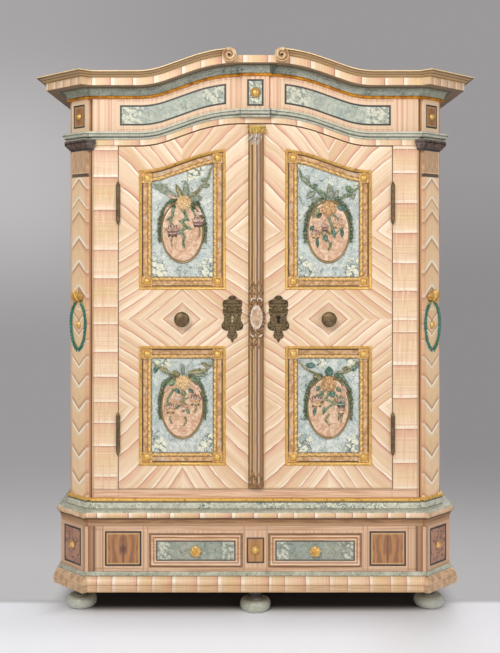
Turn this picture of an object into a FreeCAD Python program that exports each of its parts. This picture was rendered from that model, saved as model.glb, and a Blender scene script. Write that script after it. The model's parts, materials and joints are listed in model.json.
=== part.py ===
import FreeCAD, Part
import math
import os
from FreeCAD import Placement, Rotation, Vector

# A serpentine-fronted kas cupboard: plinth with two drawers, a case with two doors between chamfered
# corners, and an arched cornice. X runs to the right, Y to the back, Z up, in millimetres. The origin
# is the centre of the bounding box on the ground.

doc = FreeCAD.newDocument("kas_cupboard")
sheet = doc.addObject("Spreadsheet::Sheet", "sizes")

SIZES = [
    # case plan
    ("case_half_width", 668.0),
    ("case_depth", 520.0),
    ("chamfer", 96.0),
    ("frame_thickness", 28.0),
    ("side_thickness", 22.0),
    ("back_thickness", 18.0),
    # heights, from the ground up
    ("foot_height", 98.0),
    ("base_height", 49.0),
    ("base_step", 24.0),
    ("base_lip", 3.0),
    ("fillet_height", 16.0),
    ("plinth_height", 158.0),
    ("plinth_cove_height", 28.0),
    ("nosing_height", 25.0),
    ("nosing_round", 8.75),
    ("waist_height", 26.0),
    ("lower_bead_height", 12.0),
    ("bottom_rail_height", 31.0),
    ("opening_height", 1210.0),
    ("head_strip_height", 20.0),
    ("architrave_height", 27.0),
    ("frieze_height", 117.0),
    ("upper_bead_height", 10.0),
    ("cornice_cove_height", 26.0),
    ("band_height", 25.0),
    ("crown_height", 20.0),
    # how far each moulding stands out from the case
    ("base_out", 54.0),
    ("base_top_out", 38.0),
    ("fillet_out", 34.0),
    ("plinth_out", 28.0),
    ("plinth_cove_out", 37.0),
    ("nosing_out", 43.0),
    ("waist_out", 6.0),
    ("lower_bead_out", 9.0),
    ("head_strip_out", 6.0),
    ("architrave_out", 25.0),
    ("upper_bead_out", 10.0),
    ("cornice_cove_out", 36.0),
    ("band_out", 78.0),
    ("crown_out", 110.0),
    # the arch that the front mouldings follow
    ("arch_flat_half", 49.0),
    ("arch_convex_radius", 515.0),
    ("arch_concave_radius", 289.0),
    ("arch_straight", 91.0),
    ("arch_slope_deg", 19.5),
    ("arch_shoulder", 20.0),
    # centre block of the frieze and the scrolls beside it
    ("block_half_width", 47.0),
    ("block_out", 14.0),
    ("volute_radius", 24.0),
    ("volute_spacing", 178.0),
    ("volute_proud", 3.0),
    # corner pilasters
    ("pilaster_half_width", 44.0),
    ("pilaster_out", 12.0),
    ("post_break", 6.0),
    ("post_lap", 12.0),
    ("post_heel", 8.0),
    ("capital_height", 37.0),
    ("capital_flare", 18.0),
    ("capital_clear", 0.04),
    ("capital_return", 1.0),
    ("capital_return_out", 2.0),
    ("wreath_height", 172.0),
    ("wreath_width", 76.0),
    ("wreath_bar", 10.0),
    ("wreath_out", 9.0),
    ("wreath_share", 0.476),
    ("bow_lap", 2.0),
    ("bow_width", 44.0),
    ("bow_height", 26.0),
    # feet
    ("foot_radius", 55.0),
    ("foot_neck_radius", 28.0),
    ("foot_ball_height", 42.0),
    ("foot_sole_radius", 32.0),
    ("foot_inset", 58.0),
    ("foot_corner_inset", 40.0),
    ("foot_corner_setback", 98.0),
    ("foot_waist", 4.0),
    ("foot_waist_height", 10.0),
    ("foot_flare_height", 22.0),
    # door opening and doors
    ("stile_width", 89.0),
    ("door_gap", 1.5),
    ("head_gap", 4.0),
    ("sill_gap", 2.0),
    ("meeting_gap", 3.0),
    ("seam_offset", 23.0),
    ("panel_near", 105.0),
    ("door_stile", 73.0),
    ("panel_thickness", 14.0),
    ("panel_recess", 8.0),
    ("bottom_rail_of_door", 83.0),
    ("middle_rail_height", 199.0),
    ("top_rail_height", 83.0),
    ("gilt_width", 11.0),
    ("gilt_out", 5.0),
    ("rope_inset", 31.0),
    ("rope_width", 8.0),
    ("rope_height", 7.0),
    ("medallion_margin", 98.0),
    ("medallion_drop", 6.0),
    ("medallion_thickness", 7.0),
    ("medallion_rim", 9.0),
    ("medallion_dish", 2.5),
    ("garland_width", 17.0),
    ("garland_height", 9.0),
    ("garland_clear", 20.0),
    ("garland_gap", 0.5),
    ("rosette_drop", 6.0),
    ("rosette_radius", 28.0),
    ("corner_boss_radius", 9.5),
    ("corner_boss_out", 9.0),
    # ironwork
    ("hinge_out", 8.0),
    ("hinge_radius", 7.0),
    ("hinge_length", 128.0),
    ("hinge_pin_radius", 3.0),
    ("hinge_bore_radius", 3.1),
    ("hinge_leaf_width", 22.0),
    ("hinge_leaf_thickness", 1.2),
    ("upper_hinge_drop", 203.0),
    ("lower_hinge_rise", 196.0),
    ("hinge_tip_length", 12.0),
    ("hinge_pin_length", 110.0),
    ("hinge_bore_depth", 52.0),
    ("hinge_leaf_margin", 2.0),
    ("hinge_joint_gap", 0.4),
    ("knob_radius", 27.0),
    ("knob_neck_radius", 9.0),
    ("knob_out", 38.0),
    ("knob_drop", 4.0),
    ("knob_foot", 3.0),
    ("plate_width", 77.0),
    ("plate_height", 166.0),
    ("plate_thickness", 3.0),
    ("plate_place", 81.0),
    ("keyhole_radius", 5.0),
    # meeting strip
    ("astragal_half_width", 25.0),
    ("astragal_out", 20.0),
    ("cartouche_width", 48.0),
    ("cartouche_height", 131.0),
    ("cartouche_out", 9.0),
    ("cartouche_rise", 15.0),
    ("astragal_cup_height", 26.0),
    ("astragal_cup_half_width", 26.0),
    ("astragal_edge", 6.0),
    ("astragal_clear", 6.0),
    ("astragal_foot", 5.0),
    # lock and bolts
    ("lock_width", 90.0),
    ("lock_height", 110.0),
    ("lock_depth", 20.0),
    ("bolt_travel", 12.0),
    ("bolt_height", 24.0),
    ("bolt_depth", 9.0),
    ("bolt_length", 46.0),
    ("lock_shell", 3.0),
    ("lock_setback", 4.0),
    ("keep_setback", 1.0),
    ("keep_wall", 6.0),
    ("keep_clearance", 1.5),
    ("shoot_width", 12.0),
    ("shoot_depth", 7.0),
    ("shoot_length", 170.0),
    ("shoot_place", 62.0),
    ("shoot_top_gap", 3.0),
    ("shoot_foot_gap", 2.0),
    ("guide_height", 16.0),
    ("guide_wall", 4.0),
    ("running_clearance", 0.5),
    # drawers
    ("drawer_near", 46.0),
    ("drawer_margin", 202.0),
    ("drawer_base", 178.0),
    ("drawer_height", 116.0),
    ("drawer_gap", 2.0),
    ("drawer_front", 22.0),
    ("drawer_field_inset", 20.0),
    ("drawer_field_out", 5.0),
    ("drawer_depth", 440.0),
    ("drawer_side", 12.0),
    ("drawer_bottom", 9.0),
    ("drawer_side_height", 98.0),
    ("pull_radius", 17.0),
    ("pull_out", 24.0),
    ("partition_thickness", 20.0),
    ("runner_width", 18.0),
    ("runner_height", 22.0),
    # inside of the case
    ("floor_thickness", 22.0),
    ("floor_drop", 6.0),
    ("shelf_thickness", 20.0),
    ("shelf_count", 3.0),
    ("shelf_setback", 45.0),
    ("cleat_width", 22.0),
    ("cleat_height", 26.0),
    ("plank_count", 8.0),
    ("boss_radius", 13.0),
    ("boss_out", 7.0),
]


class Dim(float):
    """A length that also carries the spreadsheet expression it comes from."""

    def __new__(cls, value, text):
        number = super().__new__(cls, value)
        number.text = text
        return number

    def mixed(self, sign, other, value, swapped=False):
        pair = [self.text, text_of(other)]
        if swapped:
            pair.reverse()
        return Dim(value, "(%s %s %s)" % (pair[0], sign, pair[1]))

    def __add__(self, other):
        return self.mixed("+", other, float(self) + float(other))

    def __radd__(self, other):
        return self.mixed("+", other, float(self) + float(other), True)

    def __sub__(self, other):
        return self.mixed("-", other, float(self) - float(other))

    def __rsub__(self, other):
        return self.mixed("-", other, float(other) - float(self), True)

    def __mul__(self, other):
        return self.mixed("*", other, float(self) * float(other))

    def __rmul__(self, other):
        return self.mixed("*", other, float(self) * float(other), True)

    def __truediv__(self, other):
        return self.mixed("/", other, float(self) / float(other))

    def __neg__(self):
        return Dim(-float(self), "(0 - %s)" % self.text)


def text_of(length):
    return length.text if isinstance(length, Dim) else "%.9g" % length


for row, (alias, number) in enumerate(SIZES, start=1):
    sheet.set("A%d" % row, alias)
    sheet.set("B%d" % row, "%g" % number)
    sheet.setAlias("B%d" % row, alias)
doc.recompute()


def size(alias):
    """A driving dimension, read back from the sheet."""
    return Dim(float(sheet.get(alias)), "sizes.%s" % alias)


# ---------------------------------------------------------------- driving values

root_two = math.sqrt(2.0)
half = size("case_half_width")
chamfer = size("chamfer")
pilaster_half = size("pilaster_half_width")
pilaster_out = size("pilaster_out")
# how far the crown's corner over each pilaster stands in front of the case
corner_lead = (pilaster_half + pilaster_out + size("crown_out") * 2.0) / root_two - chamfer / 2.0
front = (corner_lead - size("case_depth")) / 2.0
back = (corner_lead + size("case_depth")) / 2.0
frame = size("frame_thickness")
side = size("side_thickness")
back_board = size("back_thickness")

base_z = size("foot_height")
fillet_z = base_z + size("base_height")
plinth_z = fillet_z + size("fillet_height")
plinth_cove_z = plinth_z + size("plinth_height")
nosing_z = plinth_cove_z + size("plinth_cove_height")
waist_z = nosing_z + size("nosing_height")
lower_bead_z = waist_z + size("waist_height")
rail_z = lower_bead_z + size("lower_bead_height")
opening_z = rail_z + size("bottom_rail_height")
head_z = opening_z + size("opening_height")
architrave_z = head_z + size("head_strip_height")
frieze_z = architrave_z + size("architrave_height")
upper_bead_z = frieze_z + size("frieze_height")
cornice_cove_z = upper_bead_z + size("upper_bead_height")
band_z = cornice_cove_z + size("cornice_cove_height")
crown_z = band_z + size("band_height")
crown_top = crown_z + size("crown_height")

opening = half - chamfer - size("stile_width")
clearance = size("running_clearance")
# how far a cutter runs past the face that it opens
overrun = 1.0

panel_near = size("panel_near")
panel_far = opening - size("door_stile")
panel_middle = (panel_near + panel_far) / 2.0
door_rails = size("bottom_rail_of_door") + size("middle_rail_height") + size("top_rail_height")
panel_height = (size("opening_height") - size("head_gap") - door_rails) / 2.0
lower_panel_z = opening_z + size("bottom_rail_of_door")
middle_rail_z = lower_panel_z + panel_height
upper_panel_z = middle_rail_z + size("middle_rail_height")
knob_level = middle_rail_z + size("middle_rail_height") / 2.0 - size("knob_drop")
wreath_level = opening_z + size("opening_height") * size("wreath_share")
drawer_far = half - chamfer - size("drawer_margin")

dress_margin = size("rope_inset") + size("rope_width") + size("garland_width") + size("garland_clear")
medallion_width = panel_far - panel_near - dress_margin * 2.0
medallion_height = panel_height - size("medallion_margin") * 2.0

# ---------------------------------------------------------------- the arch

slope = math.radians(size("arch_slope_deg"))
flat_half = size("arch_flat_half")
convex = size("arch_convex_radius")
concave = size("arch_concave_radius")
crest_end = flat_half + convex * math.sin(slope)
swell_start = crest_end + size("arch_straight")
arch_foot = swell_start + concave * math.sin(slope)
arch_rise = (convex + concave) * (1.0 - math.cos(slope)) + size("arch_straight") * math.tan(slope)


def arch(x):
    """Height of the serpentine line above its flat ends, at x from the centre."""
    reach = abs(x)
    if reach <= flat_half:
        return float(arch_rise)
    if reach <= crest_end:
        run = reach - flat_half
        return arch_rise - (convex - math.sqrt(convex ** 2 - run ** 2))
    if reach <= swell_start:
        return arch(crest_end) - (reach - crest_end) * math.tan(slope)
    if reach <= arch_foot:
        run = arch_foot - reach
        return concave - math.sqrt(concave ** 2 - run ** 2)
    return 0.0


def arch_edges(x_from, x_to, level):
    """The serpentine line between two places, as lines and arcs in the plane of X and Z."""
    knots = sorted({s * float(k) for k in (flat_half, crest_end, swell_start, arch_foot) for s in (-1, 1)})
    low, high = sorted((float(x_from), float(x_to)))
    stops = [low] + [k for k in knots if low + 0.01 < k < high - 0.01] + [high]
    edges = []
    for start, end in zip(stops, stops[1:]):
        middle = (start + end) / 2.0
        ends = [Vector(x, 0, level + arch(x)) for x in (start, middle, end)]
        reach = abs(middle)
        curved = flat_half < reach < crest_end or swell_start < reach < arch_foot
        if curved:
            edges.append(Part.Arc(*ends).toShape())
        else:
            edges.append(Part.LineSegment(ends[0], ends[2]).toShape())
    return edges


def arched_face(x_from, x_to, low, high, low_arched=True, high_arched=True):
    """A face between two levels that follow the arch or stay level."""
    top = arch_edges(x_from, x_to, high) if high_arched else level_edge(x_from, x_to, high)
    bottom = arch_edges(x_from, x_to, low) if low_arched else level_edge(x_from, x_to, low)
    sides = []
    for end, pick in ((0, 0), (-1, -1)):
        upper = top[end].Vertexes[pick].Point
        lower = bottom[end].Vertexes[pick].Point
        sides.append(Part.LineSegment(lower, upper).toShape())
    return Part.Face(Part.Wire(Part.__sortEdges__(top + bottom + sides)))


def level_edge(x_from, x_to, level):
    ends = sorted((float(x_from), float(x_to)))
    return [Part.LineSegment(Vector(ends[0], 0, level), Vector(ends[1], 0, level)).toShape()]


def arched_board(x_from, x_to, low, high, y_from, thickness, **kinds):
    """A board cut to the arch, standing upright with its face across Y."""
    face = arched_face(x_from, x_to, low, high, **kinds)
    face.translate(Vector(0, y_from, 0))
    return face.extrude(Vector(0, thickness, 0))


# ---------------------------------------------------------------- object helpers

nodes = []


def bind(thing, prop, length):
    thing.setExpression(prop, text_of(length))


def board(name, corner, sizes):
    """One squared board, from its low corner and its three sizes."""
    box = doc.addObject("Part::Box", name)
    for prop, length in zip(("Length", "Width", "Height"), sizes):
        bind(box, prop, length)
    for axis, length in zip("xyz", corner):
        bind(box, "Placement.Base." + axis, length)
    return box


def board_between(name, low, high):
    """One squared board between two opposite corners."""
    return board(name, low, [b - a for a, b in zip(low, high)])


def rod(name, centre, direction, radius, length):
    """One round rod from the centre of its first end."""
    cylinder = doc.addObject("Part::Cylinder", name)
    cylinder.Placement = Placement(Vector(), Rotation(Vector(0, 0, 1), Vector(*direction)))
    bind(cylinder, "Radius", radius)
    bind(cylinder, "Height", length)
    for axis, place in zip("xyz", centre):
        bind(cylinder, "Placement.Base." + axis, place)
    return cylinder


def shaped(name, shape):
    """A piece whose shape is made from the sheet's values with Part's own functions."""
    thing = doc.addObject("Part::Feature", name)
    thing.Shape = shape
    return thing


def mirrored(thing):
    """The same piece on the other side of the centre plane."""
    copy = doc.addObject("Part::Mirroring", thing.Name + "_other")
    copy.Source = thing
    copy.Normal = Vector(1, 0, 0)
    return copy


def cut(name, base, tool):
    difference = doc.addObject("Part::Cut", name)
    difference.Base = base
    difference.Tool = tool
    return difference


def fused(name, parts):
    union = doc.addObject("Part::MultiFuse", name)
    union.Shapes = parts
    return union


def group(name, parts):
    """Several separate solids that share one node."""
    together = doc.addObject("Part::Compound", name)
    together.Links = parts
    return together


def node(label, thing):
    """Registers a piece as a node of the model under its own label."""
    thing.Label = label
    nodes.append(thing)
    return thing


def pair(label, thing):
    """A node of two pieces that mirror each other."""
    return node(label, group(label + "_pair", [thing, mirrored(thing)]))


def turned(name, outline, centre, direction):
    """A turned piece: a body whose half profile, given as radius and height, is revolved."""
    body = doc.addObject("PartDesign::Body", name)
    plane = [f for f in body.Origin.OriginFeatures if f.Role == "XZ_Plane"][0]
    sketch = body.newObject("Sketcher::SketchObject", name + "_profile")
    sketch.AttachmentSupport = [(plane, "")]
    sketch.MapMode = "FlatFace"
    corners = [Vector(radius, height, 0) for radius, height in outline]
    for start, end in zip(corners, corners[1:] + corners[:1]):
        sketch.addGeometry(Part.LineSegment(start, end), False)
    revolution = body.newObject("PartDesign::Revolution", name + "_turning")
    revolution.Profile = sketch
    revolution.ReferenceAxis = (sketch, ["V_Axis"])
    revolution.Angle = 360.0
    body.Tip = revolution
    body.Placement = Placement(Vector(), Rotation(Vector(0, 0, 1), Vector(*direction)))
    for axis, place in zip("xyz", centre):
        bind(body, "Placement.Base." + axis, place)
    return body


# ---------------------------------------------------------------- mouldings

chamfer_middle = Vector(-half + chamfer / 2.0, front + chamfer / 2.0, 0)
along_chamfer = Vector(1, -1, 0) / root_two
off_chamfer = Vector(-1, -1, 0) / root_two


def profile_edges(outline):
    """Edges of a moulding section in plan offset and height; a triple of points is an arc."""
    edges = []
    for item in outline:
        if len(item) == 2:
            edges.append(Part.LineSegment(*item).toShape())
        else:
            edges.append(Part.Arc(*item).toShape())
    return edges


def section(points, arcs=()):
    """A closed section from (out, height) corners; arcs maps an edge's number to its middle point."""
    bulges = dict(arcs)
    items = []
    for number, (start, end) in enumerate(zip(points, points[1:] + points[:1])):
        stops = [start, bulges[number], end] if number in bulges else [start, end]
        items.append(stops)
    return items


def section_face(items, place, outward):
    """The section as a face, with its offsets laid along the outward direction."""
    laid = [[place + outward * out + Vector(0, 0, height) for out, height in item] for item in items]
    return Part.Face(Part.Wire(profile_edges(laid)))


def run_along(items, path, reach):
    """A moulding along a plan path, mitred at each corner; outward is on the right of travel."""
    directions = [(b - a).normalize() for a, b in zip(path, path[1:])]
    normals = [Vector(d.y, -d.x, 0) for d in directions]
    mitres = [normals[0]]
    for before, after in zip(normals, normals[1:]):
        mitres.append((before + after) / (1.0 + before.dot(after)))
    mitres.append(normals[-1])
    low = min(height for item in items for _, height in item)
    high = max(height for item in items for _, height in item)
    lengths = []
    for number, (start, end) in enumerate(zip(path, path[1:])):
        direction = directions[number]
        spare = 2.0 * reach
        face = section_face(items, start - direction * spare, normals[number])
        length = face.extrude(direction * ((end - start).Length + 2.0 * spare))
        plan = [start, start + mitres[number] * reach, end + mitres[number + 1] * reach, end]
        region = plan_prism(plan, low - overrun, high + overrun)
        lengths.append(length.common(region))
    return lengths


def plan_prism(points, low, high):
    """A prism over a plan polygon between two levels."""
    corners = [Vector(p.x, p.y, low) for p in points]
    return Part.Face(Part.makePolygon(corners + corners[:1])).extrude(Vector(0, 0, high - low))


def joined(shapes):
    """Several touching lengths as one solid."""
    result = shapes[0].multiFuse(shapes[1:]) if len(shapes) > 1 else shapes[0]
    return result.removeSplitter()


case_plan = [
    Vector(-half, back, 0),
    Vector(-half, front + chamfer, 0),
    Vector(-half + chamfer, front, 0),
    Vector(half - chamfer, front, 0),
    Vector(half, front + chamfer, 0),
    Vector(half, back, 0),
]
block_corner = chamfer_middle + along_chamfer * pilaster_half + off_chamfer * pilaster_out
block_start = Vector(-half, front + chamfer - pilaster_out * root_two, 0)
joint_x = arch_foot + size("arch_shoulder")


def corner_moulding(items, out):
    """The left return of a moulding: side, chamfer with its break over the pilaster, and front stub."""
    stub = Vector(-joint_x, front, 0)
    plain = run_along(items, [case_plan[0], case_plan[1], case_plan[2], stub], out)
    hidden_end = block_corner - off_chamfer * (pilaster_out + overrun)
    raised = run_along(items, [case_plan[0], block_start, block_corner, hidden_end], out)
    low = min(height for item in items for _, height in item)
    high = max(height for item in items for _, height in item)
    core = plan_prism(case_plan, low - overrun, high + overrun)
    whole = joined(plain + raised).cut(core)
    return whole.removeSplitter()


def front_moulding(items, x_from, x_to):
    """The front length of a moulding, swept along the arch with its section upright."""
    spine = Part.Wire(arch_edges(x_from, x_to, 0.0))
    start = Vector(x_from, front, arch(x_from))
    face = section_face(items, start, Vector(0, -1, 0))
    spine.translate(Vector(0, front, 0))
    sweep = Part.BRepOffsetAPI.MakePipeShell(spine)
    sweep.setTrihedronMode(start, Vector(1, 0, 0))
    sweep.add(face.OuterWire)
    sweep.build()
    sweep.makeSolid()
    return sweep.shape()


def block_moulding(items, out):
    """The moulding where it breaks forward round the centre block."""
    half_width = size("block_half_width")
    forward = size("block_out")
    lifted = [[(o, height + arch_rise) for o, height in item] for item in items]
    path = [
        Vector(-half_width, front, 0),
        Vector(-half_width, front - forward, 0),
        Vector(half_width, front - forward, 0),
        Vector(half_width, front, 0),
    ]
    return joined(run_along(lifted, path, out))


def arched_lengths(name, items, out, blocked=False, neighbours=()):
    """A whole cornice moulding: arched front length and two returns, trimmed to its neighbours."""
    length = front_moulding(items, -joint_x, joint_x)
    if blocked:
        length = joined([length, block_moulding(items, out)])
    for neighbour in neighbours:
        length = length.cut(neighbour)
    face = shaped(name + "_front", length)
    corner = shaped(name + "_return", corner_moulding(items, out))
    return [face, corner, mirrored(corner)]


def arched_moulding(name, items, out, blocked=False, neighbours=()):
    lengths = arched_lengths(name, items, out, blocked, neighbours)
    return node(name, group(name + "_lengths", lengths))


def level_lengths(name, items, out):
    """A whole level moulding: straight front length and two returns."""
    path = [Vector(-joint_x, front, 0), Vector(joint_x, front, 0)]
    face = shaped(name + "_front", run_along(items, path, out)[0])
    corner = shaped(name + "_return", corner_moulding(items, out))
    return [face, corner, mirrored(corner)]


def level_moulding(name, items, out):
    return node(name, group(name + "_lengths", level_lengths(name, items, out)))


def slab_section(out, low, high):
    return section([(0, low), (out, low), (out, high), (0, high)])


def bead_section(out, low, high, facets=6):
    """A half round standing on the face, in short flats as a plane leaves it."""
    radius = (high - low) / 2.0
    points = [(0, low)]
    for step in range(facets + 1):
        angle = math.pi * step / facets - math.pi / 2.0
        points.append((out - radius + radius * math.cos(angle), low + radius + radius * math.sin(angle)))
    return section(points + [(0, high)])


def cove_section(low_out, high_out, low, high, facets=5):
    """A hollow that spreads upwards, in short flats as a plane leaves it."""
    points = [(0, low)]
    for step in range(facets + 1):
        angle = math.pi / 2.0 * step / facets
        points.append((
            high_out - (high_out - low_out) * math.cos(angle),
            low + (high - low) * math.sin(angle),
        ))
    return section(points + [(0, high)])


# ---------------------------------------------------------------- plinth


def make_feet():
    radius = size("foot_radius")
    neck = size("foot_neck_radius")
    ball = size("foot_ball_height")
    sole = size("foot_sole_radius")
    steps = 6
    fullness = 0.7
    outline = [(0.0, 0.0), (float(sole), 0.0)]
    for step in range(1, 2 * steps):
        angle = -math.pi / 2.0 + math.pi * step / (2 * steps)
        swell = (radius - sole) * math.cos(angle) ** fullness
        outline.append((sole + swell, ball / 2.0 * (1 + math.sin(angle))))
    waist = float(neck - size("foot_waist"))
    outline += [(waist, float(ball)), (waist, float(ball + size("foot_waist_height")))]
    outline += [(float(neck), float(ball + size("foot_flare_height")))]
    outline += [(float(neck), float(base_z)), (0.0, float(base_z))]
    inset = size("foot_inset")
    side_x = half - size("foot_corner_inset")
    rows = ((front + size("foot_corner_setback"), front + inset, "front"), (back - inset, back - inset, "back"))
    feet = []
    for side_y, middle_y, row in rows:
        places = ((-side_x, side_y), (0.0, middle_y), (side_x, side_y))
        for number, (x, y) in enumerate(places):
            feet.append(turned("foot_%s_%d" % (row, number + 1), outline, (x, y, 0.0), (0, 0, 1)))
    node("bun_feet", group("feet_set", feet))


def base_section():
    """Square foot of the moulding, then a rounded slope up to the fillet."""
    out = size("base_out")
    top_out = size("base_top_out")
    step_z = base_z + size("base_step")
    lip = out - size("base_lip")
    points = [(0, base_z), (out, base_z), (out, step_z), (lip, step_z), (top_out, fillet_z), (0, fillet_z)]
    bulge_in = 0.25
    bulge_up = 0.62
    middle = (lip - bulge_in * (lip - top_out), step_z + bulge_up * (fillet_z - step_z))
    return section(points, [(3, middle)])


def nosing_section():
    out = size("nosing_out")
    low = nosing_z
    nose = out - size("nosing_round")
    points = [(0, low), (nose, low), (nose, waist_z), (0, waist_z)]
    return section(points, [(1, (out, (low + waist_z) / 2.0))])


def make_plinth():
    out = size("plinth_out")
    face = front - out
    inner = front
    lap = size("post_lap")
    post_x = half - chamfer + lap
    level_moulding("base_moulding", base_section(), size("base_out"))
    level_moulding("base_fillet", slab_section(size("fillet_out"), fillet_z, plinth_z), size("fillet_out"))
    cove = cove_section(out, size("plinth_cove_out"), plinth_cove_z, nosing_z)
    level_moulding("plinth_cove", cove, size("plinth_cove_out"))
    level_moulding("waist_nosing", nosing_section(), size("nosing_out"))
    level_moulding("waist_strip", slab_section(size("waist_out"), waist_z, lower_bead_z), size("waist_out"))

    gap = size("drawer_gap")
    low_z = size("drawer_base") - gap
    high_z = size("drawer_base") + size("drawer_height") + gap
    plain = board_between("plinth_front_board", (-post_x, face, plinth_z), (post_x, inner, plinth_cove_z))
    for number, (near, far) in enumerate(drawer_sides()):
        hole = board_between("drawer_hole_%d" % number, (near - gap, face - overrun, low_z),
                             (far + gap, inner + overrun, high_z))
        plain = cut("plinth_front_%d" % number, plain, hole)
    node("plinth_front", plain)

    side_board = board_between("plinth_side", (-half - out, front + chamfer + lap, plinth_z),
                               (-half, back, plinth_cove_z))
    heel = size("post_heel")
    line = block_start.x + block_start.y - out * root_two
    lead = front - out - size("post_break")
    post_plan = [
        Vector(-half - out, front + chamfer + lap, 0),
        Vector(-half - out, line + half + out, 0),
        Vector(line - lead, lead, 0),
        Vector(-post_x, lead, 0),
        Vector(-post_x, inner, 0),
        Vector(-half + chamfer - heel, front, 0),
        Vector(-half, front + chamfer - heel, 0),
        Vector(-half, front + chamfer + lap, 0),
    ]
    post = shaped("plinth_post", plan_prism(post_plan, plinth_z, plinth_cove_z))
    node("plinth_sides", group("plinth_side_set", [side_board, mirrored(side_board), post, mirrored(post)]))

    floor = plan_prism([Vector(p.x, min(p.y, back - back_board), 0) for p in case_plan],
                       base_z, base_z + size("floor_thickness"))
    node("plinth_floor", shaped("plinth_bottom", floor))
    node("plinth_back", board_between("plinth_rear", (-half, back - back_board, base_z),
                                      (half, back, waist_z)))

    partition = size("partition_thickness")
    floor_top = base_z + size("floor_thickness")
    rear = back - back_board
    outer_x = drawer_far + gap
    centre = board_between("centre_partition", (-partition / 2.0, inner, floor_top),
                           (partition / 2.0, rear, plinth_cove_z))
    outer = board_between("outer_partition", (-outer_x - partition, inner, floor_top),
                          (-outer_x, rear, plinth_cove_z))
    node("drawer_partitions", group("partition_set", [centre, outer, mirrored(outer)]))

    runner_w = size("runner_width")
    runner_h = size("runner_height")
    top = low_z + gap - clearance
    inside = board_between("inner_runner", (-size("drawer_near") - runner_w, inner, top - runner_h),
                           (-partition / 2.0, rear, top))
    outside = board_between("outer_runner", (-outer_x, inner, top - runner_h),
                            (-outer_x + runner_w, rear, top))
    runners = [inside, outside, mirrored(inside), mirrored(outside)]
    node("drawer_runners", group("runner_set", runners))


def drawer_sides():
    """The X range of each drawer."""
    near = size("drawer_near")
    return ((-drawer_far, -near), (near, drawer_far))


# shares of the pull's radius and reach, from its foot to its face
pull_profile = ((0.0, 0.0), (0.5, 0.0), (0.42, 0.35), (0.9, 0.55), (1.0, 0.72), (0.8, 0.9), (0.0, 1.0))


def make_drawer(side_name, x_from, x_to):
    low = size("drawer_base")
    tall = size("drawer_height")
    face = front - size("plinth_out")
    thick = size("drawer_front")
    inset = size("drawer_field_inset")
    raised = size("drawer_field_out")
    slab = board_between(side_name + "_slab", (x_from, face, low), (x_to, face + thick, low + tall))
    field = board_between(side_name + "_field", (x_from + inset, face - raised, low + inset),
                          (x_to - inset, face + overrun, low + tall - inset))
    node(side_name + "_drawer_front", fused(side_name + "_moulded", [slab, field]))

    wall = size("drawer_side")
    start = face + thick
    end = start + size("drawer_depth")
    side_top = low + size("drawer_side_height")
    bottom = size("drawer_bottom")
    walls = [
        board_between(side_name + "_wall_a", (x_from, start, low), (x_from + wall, end, side_top)),
        board_between(side_name + "_wall_b", (x_to - wall, start, low), (x_to, end, side_top)),
        board_between(side_name + "_rear", (x_from + wall, end - wall, low + bottom),
                      (x_to - wall, end, side_top)),
        board_between(side_name + "_bottom", (x_from + wall, start, low), (x_to - wall, end, low + bottom)),
    ]
    node(side_name + "_drawer_box", group(side_name + "_box_set", walls))

    radius = size("pull_radius")
    reach = size("pull_out")
    outline = [(radius * wide, reach * high) for wide, high in pull_profile]
    middle = (x_from + x_to) / 2.0
    node(side_name + "_drawer_pull", turned(side_name + "_pull", outline,
                                            (middle, face - raised, low + tall / 2.0), (0, -1, 0)))


# ---------------------------------------------------------------- case


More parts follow.
